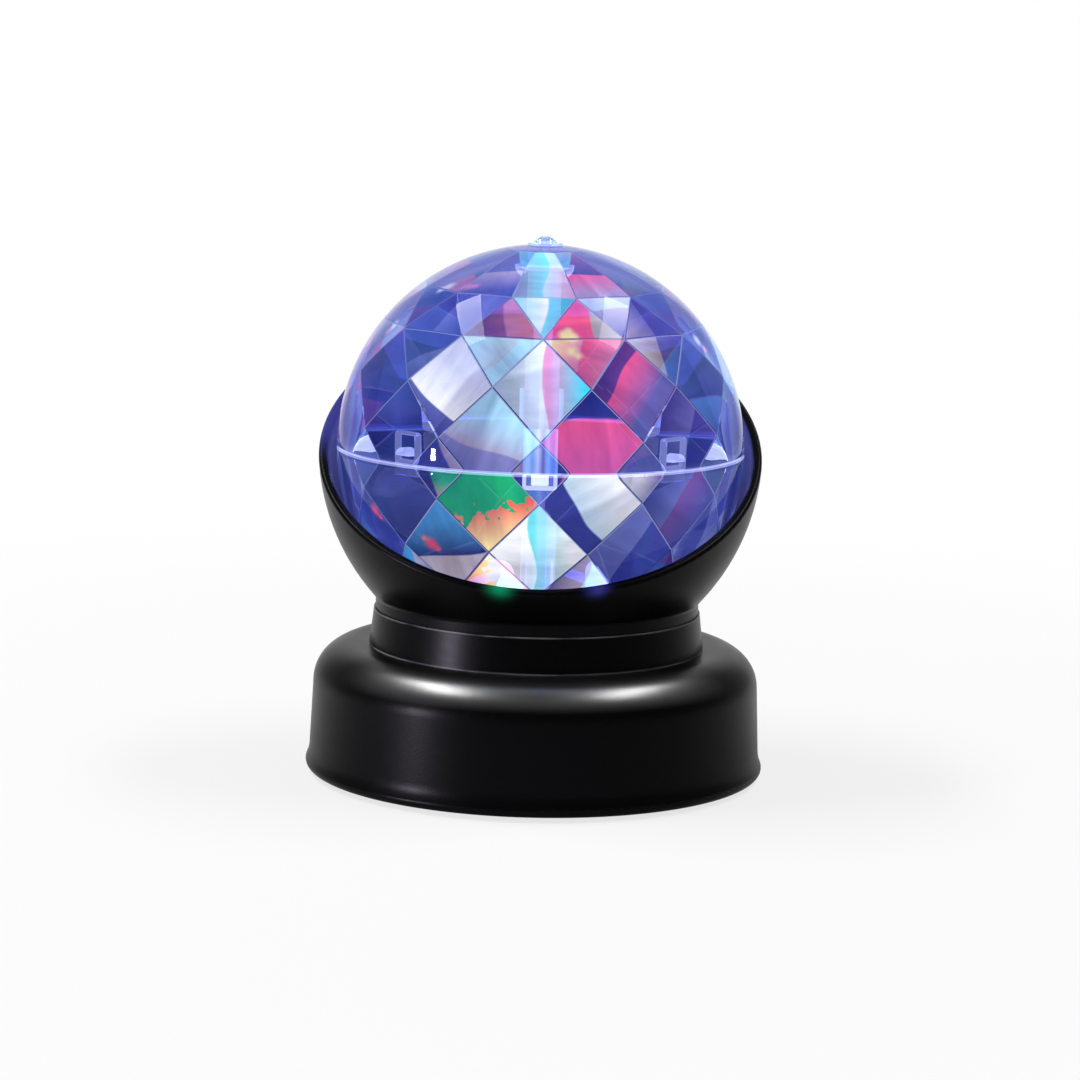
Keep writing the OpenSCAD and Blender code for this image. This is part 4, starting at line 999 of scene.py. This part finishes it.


# Black mouldings, the painted highlight on some of their edges, and the polished part of the base's shoulder
SATIN = {"shade": 0.0009, "rough": 0.32, "grain": 0.35 * MM, "depth": 0.014 * MM}
# Pale grey of the painted highlight on edges, and how far from the edge it reaches
EDGE_HIGHLIGHT_GREY = (0.12, 0.12, 0.13)
EDGE_HIGHLIGHT_REACH = (0.10 * MM, 0.45 * MM)
SHOULDER = {"y": (-42 * MM, -22 * MM), "z": (22.5 * MM, 25.5 * MM)}


def moulded_black(name, shade, rough, grain, depth, glow=None, polish=None, highlit_heights=()):
    """Near-black moulded plastic: a fine grain, faint handling marks and uneven sheen. Glow adds light,
    polish is where handling has polished it, from the first to the last place along Y and Z, and the last
    argument lists the heights of edges that get a painted highlight, broken up by streaky noise."""
    finish = Finish(name)
    haze = finish.noise(16 * MM, 4)
    marks = finish.noise(1.2 * MM, 3, finish.stretched((0.15, 0.15, 1.6)))
    dust = finish.noise(0.35 * MM, 1)
    _, y, height = finish.axes()
    handled = 0.0
    if polish:
        front = 1.0 - finish.step(y, *polish["y"])
        handled = finish.step(height, *polish["z"]) * front * (0.6 + 0.5 * haze)
    colour = finish.mix(haze, (0.75 * shade,) * 3, (1.35 * shade, 1.3 * shade, 1.5 * shade))
    # Each listed edge gets a painted highlight: a pale grey line, broken up by streaky noise
    for edge in highlit_heights:
        edge_highlight = (1.0 - finish.step(abs(height - edge), *EDGE_HIGHLIGHT_REACH)) * finish.step(marks, 0.25, 0.6)
        colour = finish.mix(edge_highlight, colour, EDGE_HIGHLIGHT_GREY)
    return finish.surface(
        Base_Color=colour,
        Roughness=rough - 0.08 + 0.10 * haze + 0.06 * marks,
        Specular_IOR_Level=0.06,
        Specular_Tint=(0.92, 0.90, 1.0, 1),
        Coat_Weight=handled,
        Coat_Roughness=0.33,
        Coat_IOR=2.2,
        Normal=finish.bump(finish.noise(grain, 2) + 0.3 * dust, depth),
        Emission_Color=glow(finish) if glow else (0, 0, 0, 1),
        Emission_Strength=1.0,
    )


# Light that spills over the bowl's front rim: place along X and colour
RIM_FRONT = (-41.5 * MM, 48.6 * MM)
SPILLS = [(-8 * MM, (0.0, 0.34, 0.15)), (13 * MM, (0.05, 0.05, 0.34))]
SPILL_REACH = 7.5 * MM
SPILL_FALL = 4.0

# Light on the left end of the bowl's lip, in a band below the tilted plane of its rim
RIM_TILT = math.radians(31.5)
LIP_DEPTH = (-1.2 * MM, -0.3 * MM)
LIP_X = (-46 * MM, -38 * MM)
LIP_Y = (-6 * MM, 6 * MM)
LIP_LIGHT = (0.040, 0.042, 0.26)

# Light on the bowl's inside
INSIDE_R = (46.7 * MM, 47.3 * MM)
INSIDE_Z = (48 * MM, 82 * MM)
INSIDE_LOW = (0.015, 0.014, 0.05)
INSIDE_HIGH = (0.05, 0.055, 0.24)


def rim_light(finish):
    """Violet light on the bowl's inside that grows towards its top, coloured light on its front rim, and
    violet light on the left end of its lip."""
    x, y, z = finish.axes()
    inside = finish.mix(finish.step(z, *INSIDE_Z), INSIDE_LOW, INSIDE_HIGH)
    light = finish.mix(finish.near(tuple(BALL_CENTRE), *INSIDE_R), (0, 0, 0), inside)
    for place, colour in SPILLS:
        spill = finish.near((place, *RIM_FRONT), 0.0, SPILL_REACH)
        light = finish.mix(spill ** SPILL_FALL, light, colour)
    over = math.cos(RIM_TILT) * (z - BALL_Z) - math.sin(RIM_TILT) * y
    left = (1.0 - finish.step(x, *LIP_X)) * finish.step(y, *LIP_Y)
    return finish.mix(left * finish.step(over, *LIP_DEPTH), light, LIP_LIGHT)


def metal(name, colour, rough, stretch):
    """Worked metal: its colour, with fine lines along one axis."""
    finish = Finish(name)
    lines = finish.noise(0.25 * MM, 3, finish.stretched(stretch))
    stain = finish.noise(3 * MM, 3)
    return finish.surface(
        Base_Color=finish.mix(stain, tuple(0.7 * part for part in colour), colour),
        Metallic=1.0,
        Roughness=rough + 0.18 * lines,
        Normal=finish.bump(lines, 0.01 * MM),
    )


def moulded_pale(name, colour, rough):
    """Pale moulded plastic or lacquer with faint mottling and a fine grain."""
    finish = Finish(name)
    mottle = finish.noise(2.5 * MM, 4)
    return finish.surface(
        Base_Color=finish.mix(mottle, tuple(0.86 * part for part in colour), colour),
        Roughness=rough + 0.15 * mottle,
        Normal=finish.bump(finish.noise(0.3 * MM, 2), 0.008 * MM),
    )


def lit_lens(name, colour, low, high):
    """Coloured lens of a light: bright in its domed tip, deeper towards its foot."""
    finish = Finish(name)
    height = finish.axes()[2]
    share = finish.add("ShaderNodeMapRange", {"Value": height, "From Min": low, "From Max": high})
    swirl = finish.noise(1.2 * MM, 2)
    pale = tuple(0.45 + 0.55 * part for part in colour)
    return finish.surface(
        Base_Color=(*colour, 1),
        Roughness=0.08 + 0.1 * swirl,
        Emission_Color=finish.mix(share, colour, pale),
        Emission_Strength=4.0,
    )


def dress(material, *nodes):
    """Gives CAD nodes a finish."""
    for node in nodes:
        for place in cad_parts[node].material_slots:
            place.material = material


# The ball
ball_plastic = clear_ball()
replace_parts(dome("ball_upper", 1, ball_plastic), "upper_dome")
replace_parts(dome("ball_lower", -1, ball_plastic), "lower_dome")
upper_clips(ball_plastic)
lower_clips(ball_plastic)
pole_socket(ball_plastic)
dress(clear_rod(), "centre_column")
dress(clear_stud(), "top_stud")

# Black mouldings
collar_low, collar_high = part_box("neck_collar")
dress(moulded_black("satin_black", **SATIN, polish=SHOULDER), "base_housing")
# The collar's top and bottom edges get a painted highlight
dress(moulded_black("collar_black", **SATIN, highlit_heights=(collar_low.z, collar_high.z)), "neck_collar")
dress(moulded_black("bowl_black", **SATIN, glow=rim_light), "bowl")
dress(moulded_black("matt_black", 0.006, 0.55, 0.7 * MM, 0.04 * MM),
      "bottom_cover", "battery_door", "motor_plate", "switch_body")
dress(moulded_black("dark_grip", 0.030, 0.50, 0.5 * MM, 0.04 * MM), "switch_slider")
dress(moulded_black("black_rubber", 0.025, 0.75, 0.4 * MM, 0.03 * MM), "rubber_feet")
dress(moulded_black("black_chip", 0.02, 0.5, 0.3 * MM, 0.01 * MM), "board_resistors")

# Metal pieces
screws = [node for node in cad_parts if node.endswith("_screws")]
dress(metal("zinc_plate", (0.52, 0.52, 0.53), 0.30, (1, 1, 1)), *screws)
dress(metal("turned_steel", (0.60, 0.60, 0.62), 0.22, (0.2, 0.2, 2)), "drive_shaft", "motor_shaft")
dress(metal("drawn_steel", (0.55, 0.56, 0.58), 0.30, (2, 2, 0.1)), "motor_can")
dress(metal("brass", (0.72, 0.50, 0.20), 0.28, (2, 2, 0.3)), "motor_gearbox", "floor_bush")
dress(metal("nickel", (0.70, 0.69, 0.66), 0.20, (0.3, 1, 1)), "contact_plates", "contact_springs")
dress(metal("cell_wrap", (0.30, 0.31, 0.33), 0.45, (0.1, 2, 2)), "batteries")

# Pale pieces and lights
LIGHTS = {
    "led_red": (1.0, 0.03, 0.03),
    "led_green": (0.03, 1.0, 0.25),
    "led_blue": (0.05, 0.12, 1.0),
}
dress(moulded_pale("nylon", (0.80, 0.78, 0.72), 0.45), "ball_gear", "motor_pinion", "thrust_washer")
dress(moulded_pale("board_white", (0.78, 0.79, 0.78), 0.35), "led_board")
for node, colour in LIGHTS.items():
    low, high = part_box(node)
    dress(lit_lens("lit_" + node, colour, low.z, high.z), node)

# Stage: floor that sweeps up into a backdrop
FLOOR_HALF = 2.5
FLOOR_DROP = 0.05 * MM
SWEEP_R = 0.6
SWEEP_STEPS = 24
WALL_Y = 1.6
WALL_TOP = 2.5

# White of the stage and room: its loss in the shadow, and its shares in gloss by place
STAGE_COLOUR = (0.80, 0.80, 0.80, 1)
PURE_WHITE = (1, 1, 1, 1)
SHADOW_R = (0.10, 0.40)
SHADOW_LOSS = 0.25
FRONT_SHARE = 0.3
BEHIND_Y = (0.0, 0.4)
WEDGE_EYE = 0.72
WEDGE_SLOPE = 0.17
ASIDE = (1.3, 6.0)
ASIDE_LOSS = 0.75
ROOM_LIGHT = 0.21
ROOM_MIRRORED = 0.05


def stage_finish():
    """Matt floor that is white to the camera beyond the object's shadow, dimmer in gloss to the front and to
    the sides, and clear from below."""
    finish = Finish("pale_stage")
    x, y, _ = finish.axes()
    reach = WEDGE_SLOPE * (y + WEDGE_EYE)
    aside = finish.step(x * x / (reach * reach), *ASIDE)
    behind = FRONT_SHARE + (1 - FRONT_SHARE) * finish.step(y, *BEHIND_Y)
    shadow = SHADOW_LOSS * finish.near((0, 0, 0), *SHADOW_R)
    share = finish.seen(behind * (1.0 - ASIDE_LOSS * aside)) * (1.0 - shadow)
    matt = finish.add("ShaderNodeBsdfDiffuse", {"Color": STAGE_COLOUR})
    lit = finish.add("ShaderNodeEmission", {"Color": PURE_WHITE, "Strength": 1.0})
    both = finish.add("ShaderNodeMixShader", {0: share, 1: matt, 2: lit})
    clear = finish.add("ShaderNodeBsdfTransparent")
    below = finish.add("ShaderNodeNewGeometry", output="Backfacing")
    shader = finish.add("ShaderNodeMixShader", {0: below, 1: both, 2: clear})
    finish.add("ShaderNodeOutputMaterial", {"Surface": shader})
    return finish.owner


def backdrop():
    """Flat floor, quarter-round sweep and upright wall, as one profile carried along X."""
    turn = np.linspace(0, math.pi / 2, SWEEP_STEPS)
    y = np.concatenate([[-FLOOR_HALF], WALL_Y - SWEEP_R + SWEEP_R * np.sin(turn), [WALL_Y]])
    z = -FLOOR_DROP + np.concatenate([[0], SWEEP_R - SWEEP_R * np.cos(turn), [WALL_TOP]])
    x = np.array([-FLOOR_HALF, FLOOR_HALF])
    grid = np.stack(np.broadcast_arrays(x[None, :], y[:, None], z[:, None]), -1)
    faces = [(2 * i, 2 * i + 1, 2 * i + 3, 2 * i + 2) for i in range(len(y) - 1)]
    mesh = bpy.data.meshes.new("stage")
    mesh.from_pydata(grid.reshape(-1, 3).tolist(), [], faces)
    mesh.materials.append(stage_finish())
    stage = linked("stage", mesh)
    stage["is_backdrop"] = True


def room():
    """Even dim light all round, white to the camera."""
    finish = Finish("room", bpy.data.worlds)
    strength = ROOM_LIGHT + (1 - ROOM_LIGHT) * finish.seen(ROOM_MIRRORED)
    light = finish.add("ShaderNodeBackground", {"Color": PURE_WHITE, "Strength": strength})
    finish.add("ShaderNodeOutputWorld", {"Surface": light})
    bpy.context.scene.world = finish.owner


def softbox(name, place, aim, size, watts, colour=(1, 1, 1)):
    """Soft rectangular light at a place, turned to a point."""
    lamp = bpy.data.lights.new(name, "AREA")
    lamp.shape = "RECTANGLE"
    lamp.size, lamp.size_y = size
    lamp.energy = watts
    lamp.color = colour
    holder = linked(name, lamp)
    holder.location = place
    holder.rotation_euler = (Vector(aim) - Vector(place)).to_track_quat("-Z", "Y").to_euler()


backdrop()
room()
softbox("over_left", (-0.42, 0.05, 0.80), (0, 0, 0.03), (0.50, 0.14), 4.6)
softbox("over_right", (0.40, 0.05, 0.80), (0, 0, 0.03), (0.50, 0.14), 3.6)
softbox("left", (-0.80, -0.46, 0.055), (0, 0, 0.02), (0.05, 0.10), 6.5, (0.94, 0.88, 1.0))

# Camera at the photograph's viewing angle
EYE = Vector((0, -0.700, 0.16083))
AIM = Vector((0.00034, 0, 0.05191))
ROLL = math.radians(1.35)
LENS = 106.3
SENSOR = 36
CLIP_START = 0.05
ahead = (AIM - EYE).normalized()
level = ahead.cross(Vector((0, 0, 1))).normalized()
upright = level.cross(ahead)
right = level * math.cos(ROLL) + upright * math.sin(ROLL)
up = upright * math.cos(ROLL) - level * math.sin(ROLL)
camera = linked("camera", bpy.data.cameras.new("camera"))
camera.data.lens = LENS
camera.data.sensor_width = SENSOR
camera.data.clip_start = CLIP_START
camera.matrix_world = Matrix.Translation(EYE) @ Matrix((right, up, -ahead)).transposed().to_4x4()
bpy.context.scene.camera = camera
bpy.context.scene.view_settings.view_transform = "Standard"

low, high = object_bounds()
